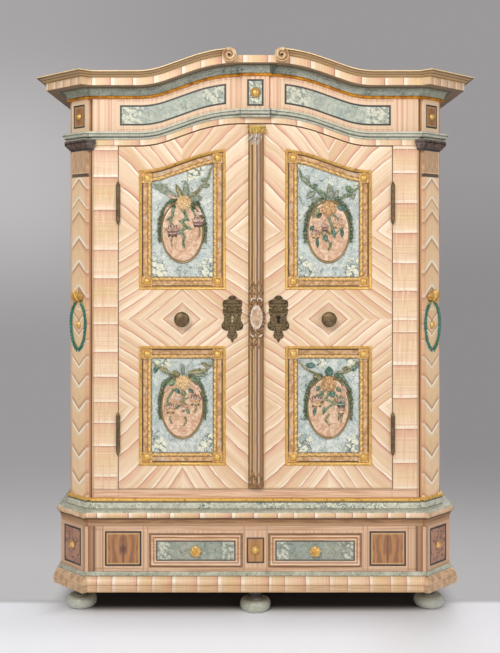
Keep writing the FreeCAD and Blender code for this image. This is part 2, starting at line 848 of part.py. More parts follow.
def make_case():
    post_x = half - chamfer
    rear = back - back_board
    side_wall = board_between("side_board", (-half, front + chamfer, waist_z), (-half + side, back, band_z))
    pair("case_sides", side_wall)

    seat = frame * math.tan(math.pi / 8.0)
    post_plan = [
        Vector(-half, front + chamfer, 0),
        Vector(-half + chamfer, front, 0),
        Vector(-half + chamfer, front + frame, 0),
        Vector(-half + chamfer - seat, front + frame, 0),
        Vector(-half + side, front + chamfer - seat + (frame - side), 0),
        Vector(-half + side, front + chamfer, 0),
    ]
    pair("corner_posts", shaped("corner_post", plan_prism(post_plan, waist_z, band_z)))

    rail_x = opening + size("door_gap")
    stile = board_between("front_stile", (-post_x, front, waist_z), (-rail_x, front + frame, frieze_z))
    sill = board_between("sill_rail", (-rail_x, front, waist_z), (rail_x, front + frame, opening_z))
    head = shaped("head_rail", arched_board(-rail_x, rail_x, head_z, frieze_z, front, frame))
    node("face_frame", group("face_frame_set", [stile, mirrored(stile), sill, head]))
    node("frieze_board", shaped("arched_frieze", arched_board(-post_x, post_x, frieze_z, band_z, front, frame)))

    floor_low = rail_z - size("floor_drop")
    left_plan = [Vector(-half + side, rear, 0)] + post_plan[4:2:-1]
    inner_plan = left_plan + [Vector(-p.x, p.y, 0) for p in reversed(left_plan)]
    thick = size("floor_thickness")
    node("case_floor", shaped("floor_board", plan_prism(inner_plan, floor_low, floor_low + thick)))
    node("roof_board", shaped("top_board", plan_prism(inner_plan, band_z - thick, band_z)))

    planks = []
    count = int(round(size("plank_count")))
    width = (half - side) * 2.0 / count
    for number in range(count):
        start = -half + side + width * number
        planks.append(board("plank_%d" % (number + 1), (start, rear, waist_z),
                            (width, back_board, band_z - waist_z)))
    node("back_boards", group("plank_set", planks))

    floor_top = floor_low + thick
    levels = int(round(size("shelf_count")))
    bay = (head_z - floor_top) / (levels + 1.0)
    shelves = []
    cleats = []
    shelf_y = front + frame + size("shelf_setback")
    shelf_edge = front + chamfer + size("cleat_width")
    for number in range(levels):
        top = floor_top + bay * (number + 1.0)
        under = top - size("shelf_thickness")
        shelves.append(board_between("shelf_%d" % (number + 1), (-half + side, shelf_edge, under),
                                     (half - side, rear, top)))
        lip = board_between("shelf_front_%d" % (number + 1), (-opening, shelf_y, under),
                            (opening, shelf_edge, top))
        shelves[-1] = fused("shelf_board_%d" % (number + 1), [shelves[-1], lip])
        cleat = board("cleat_%d" % (number + 1), (-half + side, shelf_edge, under - size("cleat_height")),
                      (size("cleat_width"), rear - shelf_edge, size("cleat_height")))
        cleats += [cleat, mirrored(cleat)]
    node("shelves", group("shelf_set", shelves))
    node("shelf_cleats", group("cleat_set", cleats))


def centre_block():
    """The pilaster block in the middle of the frieze."""
    wide = size("block_half_width")
    forward = size("block_out")
    low = frieze_z + arch_rise
    return Part.makeBox(2.0 * wide, forward, upper_bead_z - frieze_z, Vector(-wide, front - forward, low))


# shares of each moulding's reach and height, from its foot up
architrave_profile = ((0.0, 0.0), (0.45, 0.0), (0.45, 0.3), (0.68, 0.3), (1.0, 0.72), (1.0, 1.0), (0.0, 1.0))
crown_profile = ((0.06, 0.0), (0.06, 0.18), (0.35, 0.34), (0.42, 0.52), (0.8, 0.76), (1.0, 0.82), (1.0, 1.0))
capital_profile = ((0.0, 0.0), (0.35, 0.18), (1.0, 0.62), (1.0, 1.0))
return_share = 0.6


def make_cornice():
    strip_out = size("head_strip_out")
    level = size("architrave_height")
    out = size("architrave_out")
    arched_moulding("head_strip", slab_section(strip_out, head_z, architrave_z), strip_out)
    points = [(out * far, architrave_z + level * high) for far, high in architrave_profile]
    arched_moulding("architrave", section(points), out, blocked=True)
    bead_out = size("upper_bead_out")
    upper = arched_lengths("upper_bead", bead_section(bead_out, upper_bead_z, cornice_cove_z), bead_out, True)
    lower_out = size("lower_bead_out")
    lower = level_lengths("lower_bead", bead_section(lower_out, lower_bead_z, rail_z), lower_out)
    node("gilt_beads", group("bead_set", upper + lower))
    cove_out = size("cornice_cove_out")
    cove = cove_section(bead_out, cove_out, cornice_cove_z, band_z)
    band_out = size("band_out")
    band = slab_section(band_out, band_z, crown_z)
    neighbours = [upper[0].Shape, front_moulding(band, -joint_x, joint_x)]
    arched_moulding("cornice_cove", cove, cove_out, True, neighbours)
    arched_moulding("cornice_band", band, band_out)
    make_crown()


def crown_section():
    """Three steps that lean out to the crown's top edge."""
    out = size("crown_out")
    start = size("band_out")
    rise = crown_top - crown_z
    lean = out - start
    steps = [(start + lean * far, crown_z + rise * high) for far, high in crown_profile]
    return section([(0, crown_z)] + steps + [(0, crown_top)])


def make_crown():
    items = crown_section()
    out = size("crown_out")
    volute_x = size("volute_spacing") / 2.0
    radius = size("volute_radius")
    centre_z = crown_top + arch(volute_x) - radius + size("volute_proud") / 2.0
    length = front_moulding(items, -joint_x, -volute_x)
    deep = out - size("band_out") + size("volute_proud")
    scroll = Part.makeCylinder(radius, deep, Vector(-volute_x, front - out - size("volute_proud"), centre_z),
                               Vector(0, 1, 0))
    sweep = length.fuse(scroll).removeSplitter()
    arm = shaped("crown_front", sweep)
    corner = shaped("crown_return", corner_moulding(items, out))
    node("cornice_crown", group("crown_lengths", [arm, mirrored(arm), corner, mirrored(corner)]))


def chamfer_box(low_u, high_u, low_v, high_v, low, high):
    """A block on the chamfered corner: u along it, v out from it."""
    corners = [(low_u, low_v), (high_u, low_v), (high_u, high_v), (low_u, high_v)]
    plan = [chamfer_middle + along_chamfer * u + off_chamfer * v for u, v in corners]
    return plan_prism(plan, low, high)


def chamfer_point(u, v, level):
    place = chamfer_middle + along_chamfer * u + off_chamfer * v
    return Vector(place.x, place.y, level)


def elliptic_disc(centre, across, normal, width, height, thick):
    """An upright oval plate, from its middle, its sideways direction and its outward normal."""
    axes = [Vector(0, 0, 1), across]
    radii = [height / 2.0, width / 2.0]
    if width > height:
        axes = [across * -1.0, Vector(0, 0, 1)]
        radii.reverse()
    long_way, short_way = axes
    oval = Part.Ellipse(Vector(), *radii)
    face = Part.Face(Part.Wire(oval.toShape()))
    plate = face.extrude(Vector(0, 0, thick))
    upright = FreeCAD.Matrix(
        long_way.x, short_way.x, normal.x, centre.x,
        long_way.y, short_way.y, normal.y, centre.y,
        long_way.z, short_way.z, normal.z, centre.z,
        0, 0, 0, 1)
    if abs(upright.determinant() - 1.0) > 1e-6:
        return plate.transformGeometry(upright)
    return placed(plate, upright)


def placed(shape, matrix):
    copy = shape.copy()
    copy.Placement = Placement(matrix)
    return copy


def make_corners():
    wide = size("pilaster_half_width")
    deep = size("pilaster_out")
    cap_h = size("capital_height")
    cap_z = architrave_z - cap_h
    shaft = chamfer_box(-wide, wide, 0, deep, rail_z, cap_z)
    above = chamfer_box(-wide, wide, 0, deep, frieze_z, upper_bead_z)
    corner = shaped("pilaster_shaft", shaft)
    upper = shaped("pilaster_top", above)
    middle = shaped("centre_block", centre_block())
    node("pilasters", group("pilaster_set", [corner, mirrored(corner), upper, mirrored(upper), middle]))

    flare = size("capital_flare")
    sections = []
    for far, high in capital_profile:
        grow = flare * far
        level = cap_z + (cap_h - size("capital_clear")) * high
        reach = size("capital_return_out") + grow
        edge = -half + chamfer
        turn = edge + reach - (deep + grow) * root_two
        end = edge + size("capital_return") + grow * return_share
        points = [
            chamfer_point(-wide - grow, 0, level),
            chamfer_point(-wide - grow, deep + grow, level),
            Vector(turn, front - reach, level),
            Vector(end, front - reach, level),
            Vector(end, front + reach, level),
        ]
        sections.append(Part.makePolygon(points + points[:1]))
    capital = Part.makeLoft(sections, True, True)
    strips = slab_section(size("head_strip_out"), head_z, architrave_z)
    capital = capital.cut(corner_moulding(strips, size("head_strip_out")))
    capital = capital.cut(front_moulding(strips, -joint_x, joint_x))
    core = plan_prism(case_plan, cap_z - overrun, architrave_z + overrun)
    pair("pilaster_capitals", shaped("capital", capital.cut(core)))

    tall = size("wreath_height")
    across = size("wreath_width")
    bar = size("wreath_bar")
    out = size("wreath_out")
    centre = chamfer_point(0, deep, wreath_level)
    sideways = along_chamfer * -1.0
    ring = elliptic_disc(centre, sideways, off_chamfer, across, tall, out)
    hole = elliptic_disc(centre - off_chamfer, sideways, off_chamfer, across - 2 * bar, tall - 2 * bar,
                         out + 2.0 * overrun)
    top_z = wreath_level + tall / 2.0 - size("bow_lap")
    bow_half = size("bow_width") / 2.0
    bow = chamfer_box(-bow_half, bow_half, deep, deep + out, top_z, top_z + size("bow_height"))
    pair("pilaster_wreaths", shaped("wreath", ring.cut(hole).fuse(bow).removeSplitter()))

    bosses = []
    radius = size("boss_radius")
    depth = size("boss_out")
    corner_share = 0.8
    corner_spots = (
        (deep, (frieze_z + upper_bead_z) / 2.0),
        (deep, wreath_level),
        (deep + size("plinth_out"), (plinth_z + plinth_cove_z) / 2.0),
    )
    for number, (lift, level) in enumerate(corner_spots):
        start = chamfer_point(0, lift, level)
        stud = Part.makeCylinder(radius * corner_share, depth, start, off_chamfer)
        boss = shaped("corner_boss_%d" % number, stud)
        bosses += [boss, mirrored(boss)]
    block_face = front - size("block_out")
    bosses.append(rod("frieze_boss", (0.0, block_face, (frieze_z + upper_bead_z) / 2.0 + arch_rise),
                      (0, -1, 0), radius, depth))
    plinth_face = front - size("plinth_out")
    bosses.append(rod("plinth_boss", (0.0, plinth_face, size("drawer_base") + size("drawer_height") / 2.0),
                      (0, -1, 0), radius, depth))
    node("gilt_bosses", group("boss_set", bosses))


# ---------------------------------------------------------------- doors


# shares of the barrel's radius at the two ends of a hinge's acorn tip
tip_root = 0.95
tip_end = 0.3
tip_length = size("hinge_tip_length")


def hinge_levels():
    return (opening_z + size("lower_hinge_rise"), head_z - size("upper_hinge_drop"))


def hinge_axis():
    return Vector(-opening, front - size("hinge_out"), 0)


def make_hinge_posts():
    """Case halves of the lift-off hinges: lower barrel, leaf on the stile's edge and the pin."""
    axis = hinge_axis()
    radius = size("hinge_radius")
    length = size("hinge_length")
    leaf = size("hinge_leaf_thickness")
    posts = []
    for number, level in enumerate(hinge_levels()):
        low = level - length / 2.0
        barrel = Part.makeCylinder(radius, length / 2.0 - size("hinge_joint_gap"), Vector(axis.x, axis.y, low))
        tip = Part.makeCone(radius * tip_end, radius * tip_root, tip_length,
                            Vector(axis.x, axis.y, low - tip_length))
        pin = Part.makeCylinder(size("hinge_pin_radius"), size("hinge_pin_length"), Vector(axis.x, axis.y, low))
        stile_edge = -opening - size("door_gap")
        plate = Part.makeBox(leaf, size("hinge_leaf_width"), length / 2.0 - size("hinge_leaf_margin"),
                             Vector(stile_edge, front - radius / 2.0, low))
        posts.append(shaped("hinge_post_%d" % number, joined([barrel, tip, pin, plate])))
    return group("hinge_post_set", posts + [mirrored(p) for p in posts])


def make_hinge_caps():
    """Door halves of the hinges: upper barrel with its bore and the leaf on the door's edge."""
    axis = hinge_axis()
    radius = size("hinge_radius")
    length = size("hinge_length")
    leaf = size("hinge_leaf_thickness")
    caps = []
    for number, level in enumerate(hinge_levels()):
        low = level
        barrel = Part.makeCylinder(radius, length / 2.0, Vector(axis.x, axis.y, low))
        tip = Part.makeCone(radius * tip_root, radius * tip_end, tip_length,
                            Vector(axis.x, axis.y, low + length / 2.0))
        door_edge = -opening + size("door_gap")
        margin = size("hinge_leaf_margin")
        plate = Part.makeBox(leaf, size("hinge_leaf_width"), length / 2.0 - margin,
                             Vector(door_edge - leaf, front - radius / 2.0, low + margin))
        bore = Part.makeCylinder(size("hinge_bore_radius"), size("hinge_bore_depth") + overrun,
                                 Vector(axis.x, axis.y, low - overrun))
        caps.append(shaped("hinge_cap_%d" % number, joined([barrel, tip, plate]).cut(bore)))
    return caps


def panel_windows():
    """Low level, high level and whether the top follows the arch, for both door panels."""
    return ((lower_panel_z, middle_rail_z, False), (upper_panel_z, upper_panel_z + panel_height, True))


def window_face(inset, low, high, arched):
    near = -panel_near - inset
    far = -panel_far + inset
    return arched_face(far, near, low + inset, high - inset, low_arched=False, high_arched=arched)


def window_ring(inset, width, low, high, arched, y_from, thick):
    """A moulding ring that follows a panel's outline."""
    ring = window_face(inset, low, high, arched).cut(window_face(inset + width, low, high, arched))
    ring.translate(Vector(0, y_from, 0))
    return ring.extrude(Vector(0, thick, 0))


def door_frame(seam):
    """Stiles and rails of the left door; seam is where its free edge stands."""
    near = -panel_near
    far = -panel_far
    edge = -opening + size("door_gap")
    low = opening_z + size("sill_gap")
    high = head_z - size("head_gap")
    windows = panel_windows()
    pieces = [
        arched_board(edge, far, low, high, front, frame, low_arched=False),
        arched_board(near, seam, low, high, front, frame, low_arched=False),
        arched_board(far, near, low, windows[0][0], front, frame, low_arched=False, high_arched=False),
        arched_board(far, near, windows[0][1], windows[1][0], front, frame, low_arched=False,
                     high_arched=False),
        arched_board(far, near, windows[1][1], high, front, frame),
    ]
    return pieces


def garland(level):
    """Laurel band round the foot of a medallion, and the rosette at its head."""
    middle = -panel_middle
    ground = front + size("panel_recess")
    thick = size("garland_height")
    wide = medallion_width
    tall = medallion_height
    band = size("garland_width")
    centre = Vector(middle, ground, level)
    outward = Vector(0, -1, 0)
    sideways = Vector(-1, 0, 0)
    foot_share = 1.2
    outer = elliptic_disc(centre, sideways, outward, wide + 2.0 * band, tall + foot_share * band, thick)
    gap = size("garland_gap") * 2.0
    behind = centre - outward * overrun
    inner = elliptic_disc(behind, sideways, outward, wide + gap, tall + gap, thick + 2.0 * overrun)
    rosette_z = level + tall / 2.0 - size("rosette_drop")
    disc = Part.makeCylinder(size("rosette_radius"), thick, Vector(middle, ground, rosette_z), outward)
    return outer.fuse(disc).cut(inner).removeSplitter()


def door_dress(side_name, turn, seam):
    """The nodes both doors share. turn places a piece made for the left door."""

    def place(name, shapes):
        pieces = [shaped("%s_%s_%d" % (side_name, name, n), s) for n, s in enumerate(shapes)]
        if turn:
            pieces = [mirrored(p) for p in pieces]
        label = "%s_door_%s" % (side_name, name)
        return node(label, group(label + "_set", pieces) if len(pieces) > 1 else pieces[0])

    place("frame", door_frame(seam))
    windows = panel_windows()
    ground = front + size("panel_recess")
    panels = []
    mouldings = []
    ropes = []
    medallions = []
    garlands = []
    bosses = []
    outward = Vector(0, -1, 0)
    sideways = Vector(-1, 0, 0)
    middle = -panel_middle
    gilt = size("gilt_width")
    boss_radius = size("corner_boss_radius")
    for low, high, arched in windows:
        level = (low + high) / 2.0 - size("medallion_drop")
        face = window_face(0.0, low, high, arched)
        face.translate(Vector(0, ground, 0))
        panels.append(face.extrude(Vector(0, size("panel_thickness"), 0)))
        proud = size("gilt_out")
        ring = window_ring(0.0, gilt, low, high, arched, front - proud, proud + size("panel_recess"))
        mouldings.append(ring)
        inset = (gilt + size("rope_inset")) / 2.0
        for x in (-panel_far + inset, -panel_near - inset):
            for z in (low + inset, high - inset + (arch(x) if arched else 0.0)):
                spot = Vector(x, ground, z)
                bosses.append(Part.makeCylinder(boss_radius, size("corner_boss_out"), spot, outward))
        rope = size("rope_height")
        ropes.append(window_ring(size("rope_inset"), size("rope_width"), low, high, arched,
                                 ground - rope, rope))
        centre = Vector(middle, ground, level)
        thick = size("medallion_thickness")
        rim = size("medallion_rim")
        wide = medallion_width
        tall = medallion_height
        deep = size("medallion_dish")
        disc = elliptic_disc(centre, sideways, outward, wide, tall, thick)
        dish = elliptic_disc(centre + outward * (thick - deep), sideways, outward,
                             wide - 2.0 * rim, tall - 2.0 * rim, deep + overrun)
        medallions.append(disc.cut(dish))
        garlands.append(garland(level))
    place("panels", panels)
    place("gilt_mouldings", mouldings + ropes + bosses)
    place("medallions", medallions)
    place("garlands", garlands)
    place("escutcheon", [escutcheon()])
    label = side_name + "_door_hinge_caps"
    caps = make_hinge_caps() if not turn else [mirrored(c) for c in make_hinge_caps()]
    node(label, group(label + "_set", caps))

    radius = size("knob_radius")
    neck = size("knob_neck_radius")
    reach = size("knob_out")
    foot = float(size("knob_foot"))
    plate = radius * 0.6
    outline = [(0, 0), (plate, 0), (plate, foot), (float(neck), 2.0 * foot), (float(neck), reach / 2.0)]
    steps = 6
    for step in range(1, steps):
        angle = math.pi * step / steps - math.pi / 2.0
        outline.append((neck + (radius - neck) * math.cos(angle), reach * (3.0 + math.sin(angle)) / 4.0))
    outline += [(0, float(reach))]
    side_sign = 1.0 if turn else -1.0
    centre = (panel_middle * side_sign, front, knob_level)
    node(side_name + "_door_knob", turned(side_name + "_knob", outline, centre, (0, -1, 0)))


# shares of the plate's half width and half height, from its top down to its waist
plate_profile = ((0.0, 1.0), (0.35, 0.86), (0.8, 0.74), (0.66, 0.56), (1.0, 0.36), (0.72, 0.0))


def escutcheon():
    """A shaped iron plate, waisted twice, with a keyhole."""
    wide = size("plate_width") / 2.0
    tall = size("plate_height") / 2.0
    thick = size("plate_thickness")
    x = -size("plate_place")
    z = knob_level
    lower = [(u, -v) for u, v in reversed(plate_profile[:-1])]
    shares = list(plate_profile) + lower
    right = [Vector(x + wide * u, front - thick, z + tall * v) for u, v in shares]
    left = [Vector(x - wide * u, front - thick, z + tall * v) for u, v in shares[1:-1]]
    outline = right + left[::-1]
    plate = Part.Face(Part.makePolygon(outline + outline[:1])).extrude(Vector(0, thick, 0))
    hole_r = size("keyhole_radius")
    through = thick + 2.0 * overrun
    before = front - thick - overrun
    slot_half = hole_r * 0.45
    slot_tall = hole_r * 3.2
    hole = Part.makeCylinder(hole_r, through, Vector(x, before, z), Vector(0, 1, 0))
    slot = Part.makeBox(slot_half * 2.0, through, slot_tall, Vector(x - slot_half, before, z - slot_tall))
    return plate.cut(hole.fuse(slot))


def astragal_middle():
    """The meeting strip starts at the free edge of the right door."""
    return -size("seam_offset") + size("meeting_gap") / 2.0 + size("astragal_half_width")


def astragal():
    """Meeting strip: a half column with cup, cartouche and scrolls."""
    wide = size("astragal_half_width")
    out = size("astragal_out")
    clear = size("astragal_clear")
    middle = astragal_middle()
    low = opening_z + size("sill_gap") + size("astragal_foot")
    high = head_z - size("head_gap") + arch_rise - clear
    edge = size("astragal_edge")
    plan = Part.Wire([
        Part.LineSegment(Vector(middle - wide, front, low), Vector(middle - wide, front - edge, low)).toShape(),
        Part.Arc(Vector(middle - wide, front - edge, low), Vector(middle, front - out, low),
                 Vector(middle + wide, front - edge, low)).toShape(),
        Part.LineSegment(Vector(middle + wide, front - edge, low), Vector(middle + wide, front, low)).toShape(),
        Part.LineSegment(Vector(middle + wide, front, low), Vector(middle - wide, front, low)).toShape(),
    ])
    column = Part.Face(plan).extrude(Vector(0, 0, high - low))
    across = size("cartouche_width")
    tall = size("cartouche_height")
    depth = out + size("cartouche_out")
    centre = Vector(middle, front, knob_level + size("cartouche_rise"))
    oval = elliptic_disc(centre, Vector(-1, 0, 0), Vector(0, -1, 0), across, tall, depth)
    cup = Part.makeBox(wide + size("astragal_cup_half_width"), out, size("astragal_cup_height"),
                       Vector(middle - wide, front - out, high - size("astragal_cup_height")))
    return joined([column, oval, cup])


def make_doors():
    seam = -size("seam_offset")
    door_dress("left", False, seam - size("meeting_gap") / 2.0)
    door_dress("right", True, -seam - size("meeting_gap") / 2.0)


def make_locks():
    """Lock on the right door's back and its keep; sliding bolts on the left door's back."""
    inner = front + frame
    seam = -size("seam_offset") + size("meeting_gap") / 2.0
    level = knob_level
    width = size("lock_width")
    tall = size("lock_height")
    deep = size("lock_depth")
    shell = size("lock_shell")
    bolt_h = size("bolt_height")
    bolt_d = size("bolt_depth")
    edge = seam + size("lock_setback")
    case_box = board_between("lock_case_block", (edge, inner, level - tall / 2.0),
                             (edge + width, inner + deep, level + tall / 2.0))
    length = size("bolt_length")
    bolt_y = inner + shell
    channel = board_between("lock_channel",
                            (edge - overrun, bolt_y - clearance, level - bolt_h / 2.0 - clearance),
                            (edge + length + clearance, bolt_y + bolt_d + clearance,
                             level + bolt_h / 2.0 + clearance))
    node("lock_case", cut("lock_case_cut", case_box, channel))
    node("lock_bolt", board_between("lock_tongue", (edge, bolt_y, level - bolt_h / 2.0),
                                    (edge + length, bolt_y + bolt_d, level + bolt_h / 2.0)))

    keep_edge = -size("seam_offset") - size("meeting_gap") / 2.0 - size("keep_setback")
    keep_depth = size("bolt_travel") * 2.0
    keep_width = keep_depth + size("keep_wall")
    spare = size("keep_clearance")
    keep_block = board_between("keep_block", (keep_edge - keep_width, inner, level - bolt_h),
                               (keep_edge, inner + deep, level + bolt_h))
    keep_hole = board_between("keep_hole",
                              (keep_edge - keep_depth, bolt_y - spare, level - bolt_h / 2.0 - spare),
                              (keep_edge + overrun, bolt_y + bolt_d + spare, level + bolt_h / 2.0 + spare))
    keep = cut("keep_cut", keep_block, keep_hole)

    place = -size("shoot_place")
    wide = size("shoot_width")
    thick = size("shoot_depth")
    long = size("shoot_length")
    wall = size("guide_wall")
    guides = [keep]
    shoots = (
        ("top_bolt", head_z - size("head_gap") + arch(place) - long - size("shoot_top_gap")),
        ("bottom_bolt", opening_z + size("sill_gap") + size("shoot_foot_gap")),
    )
    grip_share = 0.4
    grip_reach = 2.5
    guide_shares = (0.12, 0.88)
    for name, low in shoots:
        bar = board_between(name + "_bar", (place - wide / 2.0, inner + clearance, low),
                            (place + wide / 2.0, inner + clearance + thick, low + long))
        grip_z = low + long / 2.0
        grip = rod(name + "_grip", (place, inner + clearance + thick - overrun, grip_z), (0, 1, 0),
                   wide * grip_share, thick * grip_reach)
        node(name, fused(name + "_whole", [bar, grip]))
        for number, share in enumerate(guide_shares):
            guide_low = low + long * share - size("guide_height") / 2.0
            guide_high = guide_low + size("guide_height")
            block_half = wide / 2.0 + wall
            slot_half = wide / 2.0 + clearance
            block = board_between("%s_guide_%d" % (name, number), (place - block_half, inner, guide_low),
                                  (place + block_half, inner + thick + wall + clearance, guide_high))
            slot = board_between("%s_slot_%d" % (name, number),
                                 (place - slot_half, inner - overrun, guide_low - overrun),
                                 (place + slot_half, inner + thick + 2.0 * clearance, guide_high + overrun))
            guides.append(cut("%s_loop_%d" % (name, number), block, slot))
    node("left_door_keeps", group("guide_set", guides))


# ---------------------------------------------------------------- build and write

make_feet()
make_plinth()
for drawer_name, drawer_range in zip(("left", "right"), drawer_sides()):
    make_drawer(drawer_name, *drawer_range)
make_case()
make_corners()
make_cornice()
node("hinge_posts", make_hinge_posts())
make_doors()
node("door_astragal", shaped("meeting_strip", astragal()))
make_locks()

doc.recompute()
faults = [thing.Name for thing in doc.Objects if "Invalid" in thing.State or "Error" in thing.State]
faults += [piece.Label for piece in nodes if piece.Shape.isNull() or not piece.Shape.isValid()]
if faults:
    raise RuntimeError("objects that failed: %s" % ", ".join(faults))

os.makedirs("parts", exist_ok=True)
for piece in nodes:
    piece.Shape.exportStep("parts/%s.step" % piece.Label)
print("wrote %d nodes" % len(nodes))
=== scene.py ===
import json
import random
from functools import partial
from math import atan2, cos, hypot, pi, radians, sin, sqrt, tan

import bpy
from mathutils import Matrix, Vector

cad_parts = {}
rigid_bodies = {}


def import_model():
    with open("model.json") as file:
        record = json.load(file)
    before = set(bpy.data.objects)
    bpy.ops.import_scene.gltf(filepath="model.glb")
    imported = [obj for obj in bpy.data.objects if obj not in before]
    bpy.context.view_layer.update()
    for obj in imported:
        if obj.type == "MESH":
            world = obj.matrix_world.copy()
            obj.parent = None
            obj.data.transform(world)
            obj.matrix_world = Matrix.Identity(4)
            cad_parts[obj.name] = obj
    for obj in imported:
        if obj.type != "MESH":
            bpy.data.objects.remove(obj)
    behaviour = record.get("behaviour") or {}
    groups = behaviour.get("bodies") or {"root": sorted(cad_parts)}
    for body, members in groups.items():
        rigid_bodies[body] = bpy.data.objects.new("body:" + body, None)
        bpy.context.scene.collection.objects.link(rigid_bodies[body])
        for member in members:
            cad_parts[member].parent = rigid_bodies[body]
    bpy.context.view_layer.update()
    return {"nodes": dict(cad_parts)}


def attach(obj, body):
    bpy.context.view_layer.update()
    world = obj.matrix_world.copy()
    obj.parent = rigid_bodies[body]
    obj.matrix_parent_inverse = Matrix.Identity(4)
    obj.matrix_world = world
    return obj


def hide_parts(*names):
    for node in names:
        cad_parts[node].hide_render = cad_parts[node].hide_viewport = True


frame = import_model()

# Lengths in the code are millimetres unless a name says otherwise; M turns them into metres.
M = 0.001

# the sides of the cupboard, and which way each lies from its middle
HANDS = {"left": -1, "right": 1}
rng = random.Random(7)

# the camera's place, and the photograph's middle column and focal length in pixels
CAMERA = (-19, -3707.4, 1285)
MIDDLE_COLUMN = 250
FOCAL_PIXELS = 1000

# the main planes and levels of the cupboard
FRONT = -186.42
HALF = 668
CHAMFER = 96
SIDE = 22
FRAME = 28
CHAMFER_X = HALF - CHAMFER / 2
CHAMFER_Y = FRONT + CHAMFER / 2
BASE_STEP = 122
DIAGONAL = 0.7071
SILL = 443
OPENING_TOP = 1653
ARCHITRAVE_LEVEL = 1673
FRIEZE_MIDDLE = 1759
COVE_LEVEL = 1827
CROWN_LEVEL = 1878
CORNICE_TOP = 1898
KNOB_LEVEL = 1042
WREATH_LEVEL = 1019
PLINTH_MIDDLE = 242
PLINTH_OUT = 28
PLINTH_FIELD_X = 462
VOLUTE_X = 89
PLATE_X = 81
RECESS = 8

# the drawer fronts, from the middle of the cupboard
DRAWER_X = 208
DRAWER_LEVEL = 236
DRAWER_WIDE = 324
DRAWER_TALL = 116

# the door panels: how far their edges are from the middle of the cupboard, and their levels
PANEL_NEAR = 105
PANEL_FAR = 410
PANEL_TALL = 420.5
LOWER_PANEL = 526
UPPER_PANEL = 1145.5
ARCH_STEPS = 20
PANEL_MIDDLE = (PANEL_NEAR + PANEL_FAR) / 2
BETWEEN_PANELS = 1100
OVAL_WIDE = 76.5
OVAL_TALL = 112.25
OVAL_LEVELS = (730.25, 1349.75)

# ---------------------------------------------------------------- the arch of the cornice

FLAT = 49
CONVEX = 515
CONCAVE = 289
STRAIGHT = 91
SLOPE = radians(19.5)
CREST = FLAT + CONVEX * sin(SLOPE)
SWELL = CREST + STRAIGHT
RISE = (CONVEX + CONCAVE) * (1 - cos(SLOPE)) + STRAIGHT * tan(SLOPE)


def clamp(v, low, high):
    """A number, or a shader number, kept between two limits."""
    if isinstance(v, Num):
        return v.clamp(low, high)
    return min(max(v, low), high)


def root(v):
    """The square root of a number or of a shader number."""
    return v.op("SQRT") if isinstance(v, Num) else sqrt(v)


def arch(x):
    """Height of the serpentine line; works on numbers and on shader numbers."""
    r = abs(x)
    a = clamp(r - FLAT, 0, CREST - FLAT)
    b = clamp(r - CREST, 0, STRAIGHT)
    c = clamp(r - SWELL, 0, CONCAVE * sin(SLOPE))
    drop = (CONVEX - root(CONVEX ** 2 - a * a)) + b * tan(SLOPE)
    rest = CONCAVE * sin(SLOPE) - c
    return RISE - drop - CONCAVE * (1 - cos(SLOPE)) + (CONCAVE - root(CONCAVE ** 2 - rest * rest))


# ---------------------------------------------------------------- shader numbers


class Num:
    """A number inside a material, with arithmetic that adds Math nodes."""

    def __init__(self, socket):
        self.socket = socket
        self.tree = socket.id_data

    def op(self, name, *others):
        node = self.tree.nodes.new("ShaderNodeMath")
        node.operation = name
        for slot, value in zip(node.inputs, (self,) + others):
            put(slot, value)
        return Num(node.outputs[0])

    def __rsub__(self, other):
        return self * -1 + other

    def __neg__(self):
        return self * -1

    def clamp(self, low, high):
        return self.most(low).least(high)

    def slide(self, start, end, kind="LINEAR"):
        """0 at start, 1 at end, straight between."""
        node = self.tree.nodes.new("ShaderNodeMapRange")
        node.interpolation_type = kind
        limits = (min(start, end), max(start, end), float(start > end), float(start < end))
        for slot, value in zip(node.inputs, (self,) + limits):
            put(slot, value)
        return Num(node.outputs[0])

    def ramp(self, start, end):
        """0 at start, 1 at end, smooth between."""
        return self.slide(start, end, "SMOOTHSTEP")

    def line(self, middle, width):
        """1 on a soft line of this width, 0 away from it."""
        return abs(self - middle).ramp(width * 0.75, width * 0.25)


for method, operation in (
    ("__add__", "ADD"), ("__radd__", "ADD"), ("__sub__", "SUBTRACT"), ("__mul__", "MULTIPLY"),
    ("__rmul__", "MULTIPLY"), ("__truediv__", "DIVIDE"), ("__abs__", "ABSOLUTE"), ("above", "GREATER_THAN"),
    ("below", "LESS_THAN"), ("least", "MINIMUM"), ("most", "MAXIMUM"), ("floor", "FLOOR"), ("fract", "FRACT"),
    ("sin", "SINE"),
):
    setattr(Num, method, lambda self, *others, name=operation: self.op(name, *others))


def put(slot, value):
    """Sets a socket to a number or a colour, or links it to a shader number or another socket."""
    if isinstance(value, Num):
        value = value.socket
    if isinstance(value, bpy.types.NodeSocket):
        slot.id_data.links.new(value, slot)
    elif slot.type == "RGBA":
        slot.default_value = (*value, 1)
    else:
        slot.default_value = value


def blend(tree, low, high, share):
    """Mixes two colours inside a material or the world."""
    node = tree.nodes.new("ShaderNodeMix")
    node.data_type = "RGBA"
    for slot, value in ((0, share), (6, low), (7, high)):
        put(node.inputs[slot], value)
    return node.outputs[2]


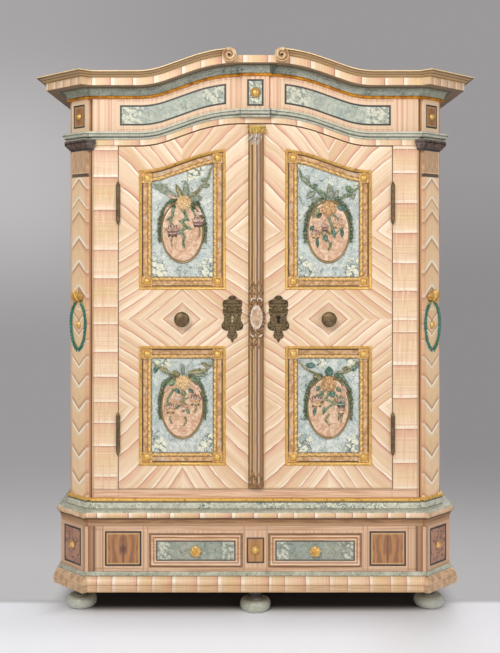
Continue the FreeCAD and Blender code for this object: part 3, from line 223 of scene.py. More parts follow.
class Paint:
    """One procedural material, in the object's own coordinates in millimetres."""

    def __init__(self, name, **gloss):
        self.material = bpy.data.materials.new(name)
        self.material.use_nodes = True
        self.tree = self.material.node_tree
        self.tree.nodes.clear()
        self.colour = None
        self.out = self.node("ShaderNodeOutputMaterial")
        self.shader = self.node("ShaderNodeBsdfPrincipled")
        put(self.out.inputs[0], self.shader.outputs[0])
        for key, value in gloss.items():
            self.shader.inputs[key.replace("_", " ")].default_value = value
        place = self.node("ShaderNodeTexCoord")
        self.vector = place.outputs["Object"]
        self.x, self.y, self.z = [way * 1000 for way in self.split(self.vector)]
        self.nx, self.ny, self.nz = self.split(place.outputs["Normal"])

    def node(self, kind, **settings):
        made = self.tree.nodes.new(kind)
        for key, value in settings.items():
            setattr(made, key, value)
        return made

    def split(self, socket):
        node = self.node("ShaderNodeSeparateXYZ")
        put(node.inputs[0], socket)
        return [Num(way) for way in node.outputs]

    def read(self, node, scale, where):
        """Reads a texture at the object's own place, or at a given one, in millimetres."""
        place = self.vector
        if where is not None:
            point = self.node("ShaderNodeCombineXYZ")
            for slot, value in zip(point.inputs, where):
                put(slot, value)
            place = point.outputs[0]
        put(node.inputs["Vector"], place)
        node.inputs["Scale"].default_value = (1000 if where is None else 1) / scale

    def noise(self, scale, detail=3, where=None, rough=0.55, bend=0):
        """Noise from 0 to 1 with features about scale millimetres across."""
        node = self.node("ShaderNodeTexNoise")
        self.read(node, scale, where)
        for key, value in (("Detail", detail), ("Roughness", rough), ("Distortion", bend)):
            node.inputs[key].default_value = value
        return Num(node.outputs[0])

    def behind(self, depth):
        """1 further back than this from the front plane."""
        return (self.y - (FRONT + depth)).above(0)

    def sideways(self):
        """How far the surface faces a side and not the front: 0, 0.5 on the corners, 1."""
        return abs(self.nx) / (abs(self.nx) + abs(self.ny) + 0.0001)

    def cells(self, scale, where=None, feature="F1"):
        node = self.node("ShaderNodeTexVoronoi", feature=feature)
        self.read(node, scale, where)
        return Num(node.outputs["Distance"])

    def pick(self, number, seed=0):
        """A steady random value for each whole number."""
        node = self.node("ShaderNodeTexWhiteNoise", noise_dimensions="1D")
        put(node.inputs["W"], number + seed)
        return Num(node.outputs[0])

    def mix(self, low, high, share):
        return blend(self.tree, low, high, share)

    def lay(self, colour, share):
        """Lays a colour over what is painted so far, where the mask says."""
        self.colour = self.mix(self.colour, colour, share)

    def layers(self, colour, *coats):
        """A colour with coats over it: pairs of a colour and how much of it shows."""
        for over, share in coats:
            colour = self.mix(colour, over, share)
        return colour

    def finish(self, bump=None, depth=0.3, rough=None):
        put(self.shader.inputs["Base Color"], self.colour)
        if rough is not None:
            put(self.shader.inputs["Roughness"], rough)
        if bump is not None:
            node = self.node("ShaderNodeBump")
            node.inputs["Distance"].default_value = depth * M
            put(node.inputs["Height"], bump)
            put(self.shader.inputs["Normal"], node.outputs[0])

    def varnish(self, dirt=0.2, bare=None, along="z"):
        """Ages what is painted, leaves bare pine where the mask says, and finishes the surface."""
        self.colour = aged(self, self.colour, dirt)
        if bare is not None:
            self.lay(bare_wood(self, along)[0], bare)
        self.finish(self.noise(1.4, 2), 0.12)


# ---------------------------------------------------------------- colours

CREAM = (0.88, 0.665, 0.475)
PALE = (0.97, 0.81, 0.62)
TAN = (0.72, 0.48, 0.27)
ROSE = (0.74, 0.4, 0.27)
PINK_LINE = (0.46, 0.19, 0.12)
WHITE = (0.97, 0.9, 0.75)
BROWN = (0.36, 0.18, 0.09)
WALNUT = (0.3, 0.135, 0.062)
BORDER = (0.02, 0.024, 0.026)
BLUE = (0.37, 0.44, 0.4)
BLUE_DARK = (0.13, 0.18, 0.18)
BLUE_LIGHT = (0.58, 0.63, 0.53)
LEAF_CREAM = (0.87, 0.86, 0.7)
GOLD = (0.78, 0.48, 0.13)
OLD_GOLD = (0.4, 0.19, 0.03)
PINE = (0.55, 0.36, 0.19)
IRON = (0.14, 0.09, 0.045)

VARNISH = dict(Roughness=0.42, Coat_Weight=0.25, Coat_Roughness=0.3)


def aged(p, colour, amount=0.2):
    """Uneven old varnish and dirt over a painted colour."""
    cloud = p.noise(160, 4).ramp(0.42, 0.75)
    fine = p.noise(9, 3).ramp(0.5, 0.8)
    colour = p.mix(colour, (0.55, 0.33, 0.17), cloud * amount * 0.6)
    return p.mix(colour, (0.45, 0.27, 0.16), fine * amount * 0.5)


def corner_u(p):
    """Distance along the chamfered corner from its middle, outwards."""
    return (abs(p.x) - CHAMFER_X + p.y - CHAMFER_Y) * DIAGONAL


def blocks(run, edges):
    """Counts the blocks passed along a run: a whole number at each edge."""
    count = run.slide(edges[0], edges[1])
    for low, high in zip(edges[1:], edges[2:]):
        count = count + run.slide(low, high)
    return count


def moulding_blocks(p, edges, step=74):
    """Blocks along a moulding: set edges across the front, even steps on corners and sides."""
    share = p.sideways()
    front = share.below(0.3)
    side = share.above(0.72)
    wobble = (p.noise(60, 1) - 0.5) * 4
    hand = p.x.above(0) * 7
    corner = corner_u(p) / (step * 0.6) + 40.3 + hand
    even = side * (p.y / step + 90 + hand) + (1 - front - side) * corner
    return front * blocks(p.x + wobble, edges) + even


def banded(p, t, seed=0, bar=0.18, strength=1):
    """Faked cross-banding: each block runs from a white edge through cream and tan to a rosy end."""
    index = t.floor()
    part = t.fract()
    tone = p.pick(index, seed)
    tint = p.pick(index, seed + 51.3)
    shine = p.pick(index, seed + 7.7)
    streak = p.noise(0.06, 2, (t, 0, 0))
    return p.layers(
        CREAM,
        ((0.77, 0.55, 0.28), part.ramp(0.05, 0.5) * (tone * 0.75 + 0.2)),
        (ROSE, part.ramp(0.45, 0.97) * (tint * 0.5 + 0.42)),
        ((0.62, 0.3, 0.19), part.ramp(0.8, 0.97) * tint * 0.5),
        (ROSE, streak.ramp(0.5, 0.7) * 0.6),
        (PALE, streak.ramp(0.46, 0.3) * 0.55),
        (WHITE, (part.ramp(bar, bar * 0.5) * (shine * 0.6 + 0.4) * strength).least(1)),
        (PINK_LINE, (part.ramp(0.94, 0.98) * 0.85 * strength).least(1)),
    )


def marble(p, base, vein, light, scale=60, crackle=0.5):
    """Painted marble: cloudy ground with dark and light veins and fine crackle."""
    ground = p.mix(base, light, p.noise(scale, 4, bend=1.2).ramp(0.36, 0.7) * 0.85)
    web = abs(p.noise(scale * 0.7, 3, bend=1.6) - 0.5)
    colour = p.mix(ground, vein, web.ramp(0.03, 0) * 0.7)
    thin = abs(p.noise(scale * 0.3, 2, bend=1) - 0.5)
    colour = p.mix(colour, light, thin.ramp(0.04, 0) * 0.6)
    cracks = p.cells(scale * 0.2, feature="DISTANCE_TO_EDGE").ramp(0.07, 0)
    zone = p.noise(scale * 0.6, 2).ramp(0.46, 0.62)
    return p.mix(colour, vein, cracks * zone * crackle)


def foliage(p, colour, along, up, where, size=20):
    """Clusters of painted leaves, cream with dark outlines, where the mask says."""
    bend = (p.noise(38, 2, (along, up, 3), bend=1.2) - 0.5) * 46
    cell = (along + bend, up - bend * 0.8, 0)
    blob = p.cells(size, cell)
    vein = p.cells(size, cell, "DISTANCE_TO_EDGE")
    patch = (where * 1.3 + p.noise(34, 2, (along, up, 9)) - 0.72).ramp(0.4, 0.6)
    leaf = p.mix(LEAF_CREAM, BLUE_LIGHT, (blob.ramp(0.2, 0.6) + p.noise(8, 2).ramp(0.45, 0.65)) * 0.45)
    return p.layers(
        colour,
        (leaf, blob.ramp(0.62, 0.54) * patch * 0.95),
        ((0.07, 0.11, 0.11), blob.line(0.62, 0.11) * patch * 0.85),
        ((0.1, 0.15, 0.15), vein.ramp(0.05, 0) * patch * 0.7),
    )


FOLD = 310


def veneer(p, across, middle):
    """Faked veneer in nested diamonds round the knob, folded at the panels' middles."""
    dx = abs(across - middle)
    rise = abs(p.z - KNOB_LEVEL)
    sway = (p.noise(230, 1) - 0.5) * 24 + (p.noise(60, 1) - 0.5) * 8
    beyond = rise.above(FOLD)
    f = dx - dx * dx * (beyond * 0.0004 + 0.00058) + beyond * 12 + sway
    f = f + rise.least(FOLD) * 1.13 - (rise - FOLD).most(0) * 0.68
    t = blocks(f, (-60, 12, 64, 118, 167, 215, 262, 306, 358, 424, 470, 503, 560))
    index = t.floor()
    part = t.fract()
    sector = across.above(middle) * 20 + p.z.above(KNOB_LEVEL) * 40
    tone = p.pick(index + sector, 3.1)
    tint = p.pick(index + sector, 23.7)
    grain = p.noise(3.2, 2, (f, across * 0.03, p.z * 0.03))
    broad = p.noise(13, 2, (f, across * 0.03, p.z * 0.03))
    bold = p.noise(75, 2, (across, p.z, index * 50)).ramp(0.38, 0.6)
    rosy = p.noise(60, 2, (across, p.z, index * 50 + 70)).ramp(0.34, 0.56)
    return p.layers(
        p.mix(PALE, TAN, tone * 0.62 + part.ramp(0.1, 0.45) * 0.25),
        (TAN, broad.ramp(0.52, 0.66) * 0.6),
        (PALE, broad.ramp(0.46, 0.34) * 0.5),
        (ROSE, part.ramp(0.5, 0.97) * (tint * 0.65 + 0.25)),
        (ROSE, grain.ramp(0.54, 0.72) * 0.5),
        (PALE, grain.ramp(0.42, 0.3) * 0.3),
        (WHITE, part.ramp(0.13, 0.05) * (bold * 0.85 + 0.15)),
        (ROSE, part.ramp(0.8, 0.92) * (rosy * 0.4 + 0.3)),
        (PINK_LINE, part.ramp(0.91, 0.96) * (rosy * 0.5 + 0.25)),
    )


def bare_wood(p, along):
    """Plain pine with long grain, growth rings and dust."""
    where = [q * (0.05 if way == along else 1) for q, way in zip((p.x, p.y, p.z), "xyz")]
    rings = p.noise(22, 3, where, bend=0.6)
    fine = p.noise(2.2, 2, where)
    shade = p.mix(PINE, tuple(c * 0.55 for c in PINE), (rings * 38).sin().ramp(0.2, 1) * 0.4)
    shade = p.mix(shade, tuple(c * 1.25 for c in PINE), fine.ramp(0.45, 0.75) * 0.4)
    return p.mix(shade, (0.2, 0.12, 0.06), p.noise(180, 4).ramp(0.5, 0.85) * 0.28), fine


def rect(along, up, middle, level, half_wide, half_tall, border=6.5):
    """Masks of a painted panel: the whole of it, its field inside the border, and the depth."""
    inside = (abs(along - middle) - half_wide).most(abs(up - level) - half_tall)
    return inside.ramp(0.6, -0.6), inside.ramp(-border + 0.8, -border - 0.8), inside


def walnut(p, run):
    """Faked walnut, matched about its middle, with a dark heart."""
    side = abs(run)
    swirl = p.noise(30, 3, (side, (p.z - PLINTH_MIDDLE) * 0.35, 0), bend=0.8)
    bow = (p.z - PLINTH_MIDDLE) * (p.z - PLINTH_MIDDLE) * 0.0022
    flame = ((side + bow) * 0.2 + swirl * 9).sin()
    colour = p.mix(WALNUT, (0.49, 0.235, 0.095), flame.ramp(-0.7, 0.8) * 0.85)
    fine = p.noise(3, 2, (side, p.z * 0.05, 0))
    colour = p.mix(colour, (0.2, 0.08, 0.04), fine.ramp(0.52, 0.72) * 0.45)
    return p.mix(colour, (0.13, 0.055, 0.035), side.ramp(5, 0) * 0.7)


def burl(p, run):
    """Knotty walnut root."""
    knots = p.cells(11, (run + p.noise(20, 2) * 30, p.z, 0))
    colour = p.mix((0.17, 0.07, 0.05), (0.47, 0.25, 0.17), knots.ramp(0.1, 0.7))
    return p.mix(colour, (0.36, 0.24, 0.2), p.noise(14, 3).ramp(0.5, 0.7) * 0.6)


def stripes(p, run, seed=0):
    """Upright veneer strips of uneven width."""
    tone = p.noise(9, 1, (run + seed, 0, 0))
    thin = p.noise(6, 1, (run + seed + 300, 0, 0))
    return p.layers(
        p.mix(CREAM, ROSE, tone.ramp(0.42, 0.62)),
        (TAN, p.noise(15, 1, (run + seed + 90, 0, 0)).ramp(0.5, 0.62) * 0.7),
        (WHITE, thin.ramp(0.6, 0.72) * 0.9),
        (PINK_LINE, thin.ramp(0.36, 0.28) * 0.6),
    )


MATERIALS = {}
MADE = {}


def material(**gloss):
    """Registers a painting function under its own name, to be run when the finish is first needed."""
    def keep(paint):
        MATERIALS[paint.__name__] = (paint, gloss or VARNISH)
        return paint
    return keep


def paint_for(name):
    """The material of a finish, painted when it is first asked for."""
    if name not in MADE:
        paint, gloss = MATERIALS[name]
        MADE[name] = Paint(name, **gloss)
        paint(MADE[name])
    return MADE[name].material


def front_edges(columns, depth):
    """Places across the front, in millimetres, of marks seen from the camera at this depth."""
    return tuple((column - MIDDLE_COLUMN) * depth / FOCAL_PIXELS + CAMERA[0] for column in columns)


BAND_EDGES = front_edges(
    (60, 76, 92, 111, 133, 154, 182, 201, 222, 243, 268, 290, 311, 335, 362, 385, 404, 426, 446), 3443)
BASE_EDGES = front_edges(
    (77, 97, 112, 137, 152, 172, 197, 218, 241, 269, 285, 306, 330, 348, 370, 391, 407, 430), 3467)
NOSING_EDGES = front_edges(
    (70, 97, 129, 147, 170, 200, 232, 254, 278, 294, 315, 336, 353, 367, 388, 406, 430), 3478)
LEFT_BLOCKS = (SILL, 486, 595, 676, 750, 838, 926, 1024, 1084, 1186, 1285, 1426, 1542, 1637, 1720)
RIGHT_BLOCKS = (SILL, 535, 655, 764, 880, 996, 1038, 1141, 1239, 1345, 1450, 1556, 1641, 1720)


@material()
def cross_banding(p):
    p.colour = banded(p, moulding_blocks(p, BASE_EDGES), 0.3)
    # The lower tier is painted darker tan; its foot is painted darker still, painted shade towards the floor.
    low = p.z.below(BASE_STEP)
    p.lay((0.52, 0.32, 0.15), low * 0.38 + p.z.ramp(106, 99) * 0.35)
    level = p.noise(4, 2, (p.x * 0.04, p.y * 0.04, p.z))
    p.lay((0.4, 0.22, 0.1), level.ramp(0.52, 0.7) * (low * 0.35 + 0.2))
    # painted shade: a dark line in the crease at the step between the tiers
    p.lay((0.3, 0.14, 0.06), p.z.line(BASE_STEP, 2.2) * 0.55)
    # painted shade: the corners and sides are painted a darker wavy brown-tan than the front
    turned = p.sideways().above(0.3)
    wave = p.noise(20, 2, (corner_u(p), p.z, 0), bend=0.8)
    shade = p.mix((0.4, 0.23, 0.12), (0.74, 0.5, 0.3), wave.ramp(0.35, 0.65))
    p.lay(shade, turned * 0.8)
    p.lay((0.56, 0.35, 0.2), 0.1)
    p.varnish()


@material()
def nosing_banding(p):
    p.colour = banded(p, moulding_blocks(p, NOSING_EDGES), 2.9)
    ledge = marble(p, (0.4, 0.43, 0.36), (0.16, 0.19, 0.17), (0.66, 0.67, 0.56), 45)
    # painted shade: the corners and sides are painted a darker wavy brown-tan than the front
    turned = p.sideways().above(0.3)
    wave = p.noise(16, 2, (corner_u(p) * 0.4, p.z, 0), bend=0.6)
    shade = p.mix((0.46, 0.27, 0.14), (0.8, 0.57, 0.37), wave.ramp(0.35, 0.65))
    # painted shade: the foot of the nosing is darkened where it turns under
    p.lay((0.34, 0.17, 0.08), p.z.ramp(355, 350) * 0.5)
    p.lay(shade, turned * 0.7)
    p.lay(ledge, p.nz.above(0.6))
    p.varnish()


@material()
def cornice_banding(p):
    p.colour = banded(p, moulding_blocks(p, BAND_EDGES), 4.6, 0.22)
    # painted shade: the band's underside is painted dark
    p.lay((0.3, 0.19, 0.11), p.nz.below(-0.6))
    p.varnish()


@material()
def strip_banding(p):
    p.colour = banded(p, p.x / 92 + 31.4, 8.2, 0.2, 0.7)
    p.varnish()


@material()
def stiles(p):
    z = p.z + (p.noise(50, 1) - 0.5) * 3
    right = p.x.above(0)
    t = blocks(z, LEFT_BLOCKS) * (1 - right) + (blocks(z, RIGHT_BLOCKS) + 40) * right
    upright = p.layers(
        banded(p, t, 2.2, 0.13),
        (PALE, p.noise(4.5, 2, (p.x, 0, p.z * 0.05)).ramp(0.5, 0.7) * 0.55),
        (ROSE, p.noise(7, 2, (p.x, 40, p.z * 0.04)).ramp(0.52, 0.72) * 0.5),
        (TAN, p.noise(5, 2, (p.x * 0.04, 80, p.z)).ramp(0.52, 0.7) * 0.5),
    )
    grain = p.noise(4, 3, (p.x * 0.02, 0, p.z))
    level = p.mix((0.6, 0.33, 0.2), (0.86, 0.6, 0.42), grain.ramp(0.38, 0.62))
    level = p.mix(level, (0.22, 0.1, 0.05), p.z.ramp(415, 411) * 0.7)
    rail = p.z.below(SILL)
    p.colour = p.mix(upright, level, rail)
    # Painted shade: brown lines along the door gaps at the hinge side and over the sill, and a brown edge
    # running into the groove by the pilaster.
    edge = abs(p.x).line(481, 5) * 0.15 + abs(p.x).ramp(565, 571) * 0.6
    p.lay(BROWN, edge + p.z.line(SILL, 6) * 0.45)
    # painted light: the side faces beside the doors are painted pale to brighten the gaps
    p.lay(PALE, abs(p.nx).above(0.5) * abs(p.x).below(490))
    p.varnish(0.2, p.behind(FRAME - 1))


@material()
def frieze(p):
    up = p.z - arch(p.x)
    ax = abs(p.x)
    ground = stripes(p, p.x)
    whole, field, depth = rect(ax, up, 290, FRIEZE_MIDDLE, 187, 36)
    ground = p.mix(ground, CREAM, (depth - 14).ramp(2, -2) * 0.65)
    ground = p.mix(ground, BROWN, depth.line(14, 2.4) * 0.3 + ax.line(464, 3) * 0.4)
    blue = marble(p, BLUE, BLUE_DARK, BLUE_LIGHT, 60, 0.6)
    ends = ax.ramp(330, 440) + ax.ramp(240, 150)
    blue = p.mix(blue, foliage(p, blue, p.x, p.z, ends * 0.85, 15), 0.7)
    p.colour = p.mix(ground, BORDER, whole)
    p.lay(blue, field)
    p.varnish(0.12, p.behind(FRAME - 1), "x")


UPPER_CHEVRONS = (1070, 1156, 1242, 1328, 1424, 1469, 1540, 1620)
LOWER_CHEVRONS = (-1100, -1030, -982, -928, -871, -803, -717, -635, -549, -457, -380)


@material()
def pilaster(p):
    ax = abs(p.x)
    u = corner_u(p)
    du = abs(u)
    low = p.z.below(1072)
    upper = blocks(p.z + du * 0.88, UPPER_CHEVRONS)
    lower = blocks(du * 0.88 - p.z, LOWER_CHEVRONS) + 20
    course = upper * (1 - low) + lower * low
    p.colour = p.mix(banded(p, course, 6.4, 0.02, 1), (1, 0.72, 0.44), 0.5)
    fibre = p.noise(3, 2, (course * 40, u * 0.1, 0))
    p.lay((0.72, 0.44, 0.22), fibre.ramp(0.5, 0.7) * 0.4)
    p.lay((0.4, 0.19, 0.09), course.fract().ramp(0.78, 0.97) * 0.6)
    p.lay((1, 0.95, 0.82), course.fract().ramp(0.15, 0.09) * 0.9)
    p.lay((0.52, 0.32, 0.15), du.ramp(2.5, 0.5) * 0.3)
    p.lay(ROSE, du.ramp(35, 39) * 0.45)
    weave = p.noise(3.5, 2, (u, 0, p.z * 0.1))
    neck = p.mix((0.42, 0.25, 0.14), (0.74, 0.5, 0.32), weave.ramp(0.3, 0.7))
    p.lay(neck, p.z.ramp(1557, 1560))
    p.lay((0.03, 0.02, 0.02), abs(p.z - 1550).ramp(7.5, 5.5) * 0.9)
    p.lay(WHITE, u.ramp(39, 42) * 0.6)
    whole, field, depth = rect(u, p.z, -2, FRIEZE_MIDDLE, 33, 41, 6)
    block = p.layers(
        p.mix(CREAM, BORDER, whole),
        (walnut(p, u), field),
        ((0.66, 0.44, 0.2), depth.line(-8.5, 4) * 0.6),
        (ROSE, (u - 40).ramp(0, 4) * 0.5),
    )
    p.lay(block, p.z.above(1700))
    whole, field, _ = rect(p.x, p.z, 0, FRIEZE_MIDDLE + RISE, 29, 47)
    middle = p.mix(stripes(p, p.x, 500), BORDER, whole)
    blue = foliage(p, marble(p, BLUE, BLUE_DARK, BLUE_LIGHT, 30), p.x, p.z, 0.6, 9)
    middle = p.mix(middle, blue, field)
    p.lay(middle, ax.below(200))
    p.varnish()


@material()
def groove(p):
    """The corner beside the pilaster, painted dark brown as painted shade, with black lines of painted shadow
    in its creases.
    """
    tone = p.noise(12, 3, (p.x, p.y, p.z * 0.05))
    p.colour = p.mix((0.56, 0.33, 0.17), (0.8, 0.55, 0.34), tone.ramp(0.3, 0.7))
    # painted shadow: black lines in the creases beside the pilaster
    p.lay((0.05, 0.025, 0.015), abs(corner_u(p)).line(58, 8) * 0.95)
    p.lay((0.05, 0.025, 0.015), abs(corner_u(p)).line(49.5, 3) * 0.7)
    inside = p.behind(FRAME - 1) * abs(p.x).below(HALF - SIDE + 0.5)
    p.varnish(0.2, inside)


@material()
def blue_marbling(p):
    p.colour = marble(p, (0.54, 0.56, 0.49), (0.16, 0.19, 0.17), (0.8, 0.79, 0.66), 45)
    p.colour = foliage(p, p.colour, p.x, p.z, p.noise(130, 2).ramp(0.4, 0.6) * p.y.below(FRONT + 2), 10)
    # painted shadow: dark lines under the gilt bead above and in the crease over the nosing below
    p.lay((0.05, 0.05, 0.04), p.z.ramp(395, 398) * 0.85 + p.z.ramp(378.5, 375.5) * 0.6)
    p.varnish(0.12)


@material()
def green_marbling(p):
    p.colour = marble(p, (0.38, 0.4, 0.31), (0.16, 0.18, 0.13), (0.62, 0.64, 0.54), 60)
    # painted shadow: a dark line along the fillet's foot
    p.lay((0.1, 0.07, 0.04), p.z.ramp(150.5, 147.8) * 0.85)
    p.varnish(0.12)


@material(Roughness=0.25, Coat_Weight=0.5, Coat_Roughness=0.12)
def foot_marbling(p):
    p.colour = marble(p, (0.44, 0.47, 0.4), (0.22, 0.25, 0.2), (0.6, 0.63, 0.56), 70, 0.2)
    p.colour = p.mix((0.47, 0.5, 0.43), p.colour, 0.5)
    # painted shade: the neck under the case is painted near-black
    p.lay((0.03, 0.022, 0.018), p.z.ramp(41, 47) * 0.93)
    p.finish(p.noise(1.6, 2), 0.1)


@material()
def architrave(p):
    up = p.z - arch(p.x) - ARCHITRAVE_LEVEL
    p.colour = marble(p, (0.42, 0.44, 0.35), (0.2, 0.21, 0.15), (0.64, 0.65, 0.55), 60)
    lines = up.line(8.4, 3.2) + up.line(19, 3.2) * 0.85
    p.lay((0.1, 0.11, 0.08), lines * 0.9)
    p.lay((0.74, 0.74, 0.62), up.line(14, 3) * 0.5 + up.line(23.5, 3) * 0.5)
    # painted shadow beside the steps of the middle block, darker on the right
    step = abs(p.x).ramp(49, 51) * abs(p.x).ramp(60, 52)
    p.lay((0.05, 0.06, 0.05), step * (0.5 + p.x.above(0) * 0.35))
    p.varnish(0.12)


@material()
def cove(p):
    p.colour = marble(p, (0.33, 0.37, 0.31), (0.06, 0.08, 0.06), (0.54, 0.58, 0.48), 70, 0.9)
    run = p.noise(7, 3, (p.x * 0.12, 0, p.z - arch(p.x)))
    p.lay((0.6, 0.63, 0.52), run.ramp(0.52, 0.68) * 0.5)
    p.lay((0.1, 0.12, 0.08), run.ramp(0.42, 0.3) * 0.5)
    up = p.z - arch(p.x) - COVE_LEVEL
    p.lay((0.5, 0.52, 0.33), abs(p.x).ramp(560, 640) * 0.35)
    # painted shadow under the band: darker towards the top of the cove, with a dark line at the top
    p.lay((0.09, 0.075, 0.035), up.ramp(12, 25) * 0.45 + up.ramp(22.5, 23.5) * 0.5)
    # painted shadow to the right of the middle block's step
    shade = p.x.ramp(49, 51) * p.x.ramp(120, 52)
    p.lay((0.03, 0.04, 0.035), shade * 0.75)
    p.varnish(0.12)


@material()
def crown(p):
    up = p.z - arch(p.x) - CROWN_LEVEL
    grain = p.noise(9, 3, (p.x * 0.15, p.y * 0.15, p.z))
    p.colour = p.mix((0.86, 0.54, 0.2), (1, 0.74, 0.36), grain)
    p.lay((1, 0.8, 0.48), up.ramp(16.5, 19) * 0.8)
    p.lay((0.98, 0.72, 0.38), (up.line(5.6, 4) + up.line(12.2, 4)).least(1) * 0.7)
    lines = up.line(2, 2.6) + up.line(9, 3) + up.line(15.6, 2.6)
    p.lay((0.09, 0.035, 0.01), lines.least(1) * 0.9)
    # painted shade on the undersides
    p.lay((0.25, 0.14, 0.08), p.nz.below(-0.7) * 0.6)
    p.varnish(0.2, p.nz.above(0.95), "x")


@material()
def plinth_cove(p):
    grain = p.noise(6, 3, (p.x * 0.08, p.y * 0.08, p.z))
    p.colour = p.mix((0.21, 0.095, 0.035), (0.42, 0.225, 0.1), grain.ramp(0.3, 0.7))
    # Painted light and shade: lighter towards the foot, darker under the nosing at the top, and a dark line
    # of painted shadow at the foot.
    p.lay((0.58, 0.35, 0.2), p.z.ramp(336, 324) * 0.7)
    p.lay((0.14, 0.06, 0.03), p.z.ramp(323.5, 321.5) * 0.6)
    p.lay((0.1, 0.045, 0.02), p.z.ramp(342, 346) * 0.8)
    p.varnish()


def plinth_ground(p, run):
    """Tan veneer with upright grain between level strips."""
    ground = p.mix(stripes(p, run, 700), (0.58, 0.36, 0.22), 0.45)
    level = p.mix((0.54, 0.32, 0.19), (0.74, 0.5, 0.34), p.noise(5, 2, (run * 0.02, 0, p.z)).ramp(0.38, 0.62))
    return p.mix(ground, level, p.z.ramp(303, 306) + p.z.ramp(178, 175))


@material()
def plinth(p):
    ax = abs(p.x)
    whole, field, depth = rect(ax, p.z, PLINTH_FIELD_X, PLINTH_MIDDLE, 64, 61, 6)
    p.colour = p.mix(plinth_ground(p, p.x), BORDER, whole)
    wood = walnut(p, ax - PLINTH_FIELD_X)
    eye = root((ax - PLINTH_FIELD_X) * (ax - PLINTH_FIELD_X) + (p.z - 240) * (p.z - 240) * 0.6)
    wood = p.mix(wood, (0.12, 0.05, 0.04), eye.ramp(15, 6) * p.x.below(0) * 0.8)
    p.lay(wood, field)
    p.lay((0.66, 0.42, 0.18), depth.line(-9, 5) * 0.7)
    whole, field, _ = rect(p.x, p.z, 0, DRAWER_LEVEL, 31, 45, 5.5)
    p.lay(BORDER, whole)
    p.lay(p.mix(walnut(p, p.x), (0.55, 0.3, 0.1), 0.4), field)
    flute = (ax.ramp(515, 530) * p.noise(9, 1, (ax, 0, 0)).ramp(0.45, 0.55)) * 0.35
    p.lay(BROWN, flute + ax.ramp(562, 568) * 0.8)
    p.lay((0.12, 0.05, 0.02), ax.line(563, 8) * 0.85)
    for edge in (40, 376, 392, 533):
        p.lay(BROWN, ax.line(edge, 4) * 0.55)
    p.varnish(0.2, p.behind(-1), "x")


@material()
def plinth_sides(p):
    ax = abs(p.x)
    u = corner_u(p)
    ground = p.mix(plinth_ground(p, u + p.y), (0.6, 0.36, 0.22), 0.3)
    corner = abs(p.nx).below(0.95) * abs(p.ny).below(0.95)
    whole, field, _ = rect(u, p.z, -2, PLINTH_MIDDLE + 1, 50, 66, 7)
    p.colour = p.mix(ground, BORDER, whole * corner)
    p.lay(burl(p, u), field * corner)
    p.lay(BROWN, u.ramp(-60, -68) * corner * 0.75)
    side = abs(p.nx).above(0.9)
    whole, field, _ = rect(p.y, p.z, 132, PLINTH_MIDDLE + 1, 162, 57)
    p.lay(BORDER, whole * side)
    p.lay(walnut(p, p.y), field * side)
    out = (ax - CHAMFER_X - p.y + CHAMFER_Y) * DIAGONAL
    inside = ax.below(HALF + 20) * out.below(20) * (p.y - FRONT + 20).above(0)
    p.varnish(0.2, inside, "x")


@material()
def case_side(p):
    edge = (abs(p.y - 122) - 150).most(abs(p.z - 1080) - 560)
    border = banded(p, blocks(p.z, LEFT_BLOCKS), 2.2, 0.13)
    p.colour = p.mix(veneer(p, p.y, 122), border, edge.ramp(-1, 1))
    p.lay(BROWN, edge.line(0, 5) * 0.6)
    p.varnish(0.2, abs(p.x).below(HALF - 1))


def door_veneer(p, side):
    """The diamond veneer of one door's frame."""
    middle = HANDS[side] * PANEL_MIDDLE
    p.colour = veneer(p, p.x, middle)
    # painted shade: a tan-brown edge along the door's sides and foot, by the gaps, stronger on the right door
    inner = (abs(p.x - middle) - 225.5).most(SILL + 3 - p.z)
    p.lay((0.6, 0.38, 0.18), inner.ramp(-7, -3) * (0.2 if side == "left" else 0.45))
    # painted light: the door's edges are painted pale to brighten the gaps
    behind = p.behind(1)
    p.lay(PALE, behind)
    p.varnish(0.16, behind * p.ny.above(0.5))


for side in HANDS:
    MATERIALS["door_veneer_" + side] = (partial(door_veneer, side=side), VARNISH)


@material()
def panel(p):
    """Door panels: warm brown margin, then a blue marbled field with painted leaves."""
    dx = abs(abs(p.x) - PANEL_MIDDLE) - (PANEL_FAR - PANEL_NEAR) / 2
    upper = p.z.above(BETWEEN_PANELS)
    up = p.z - (upper * (UPPER_PANEL - LOWER_PANEL) + LOWER_PANEL)
    low = -up
    high = up - arch(p.x) * upper - PANEL_TALL
    depth = dx.most(low).most(high)
    streak = p.noise(3.4, 2, (dx * (1 - high.above(-31)), up * 0.06, high * 0.06)).ramp(0.5, 0.66)
    flat = p.layers(
        p.mix((0.44, 0.24, 0.1), (0.76, 0.5, 0.25), p.noise(14, 3).ramp(0.35, 0.65)),
        ((0.76, 0.63, 0.52), p.noise(44, 2).ramp(0.54, 0.66) * 0.6),
        ((0.58, 0.32, 0.12), depth.ramp(-28, -31) * 0.8),
        ((0.3, 0.17, 0.1), streak * 0.45),
        # painted shadow: dark lines beside the gilt frame and on both sides of the wound rods
        ((0.07, 0.035, 0.02), depth.line(-12.5, 4) + depth.line(-30, 2.4) * 0.6),
        ((0.12, 0.06, 0.03), depth.ramp(-41.5, -43.5) * 0.8),
    )
    blue = marble(p, (0.47, 0.56, 0.55), (0.12, 0.19, 0.2), (0.78, 0.81, 0.76), 42, 0.45)
    long_crack = abs(p.noise(60, 2, bend=1) - 0.5).ramp(0.01, 0.003)
    blue = p.mix(blue, (0.1, 0.15, 0.15), long_crack * 0.7)
    corner = dx.ramp(-130, -60) * up.ramp(165, 60) * 1.15
    crown = high.ramp(-120, -60) * 0.8
    blue = foliage(p, blue, p.x, p.z, (corner + crown * p.noise(90, 1).ramp(0.4, 0.6)).least(1))
    # painted shade: the blue field darkens along its edge by the rods
    blue = p.mix(blue, BLUE_DARK, depth.ramp(-49, -45) * 0.4)
    p.colour = p.mix(flat, blue, depth.ramp(-44, -45.5))
    p.varnish(0.1, p.behind(9))


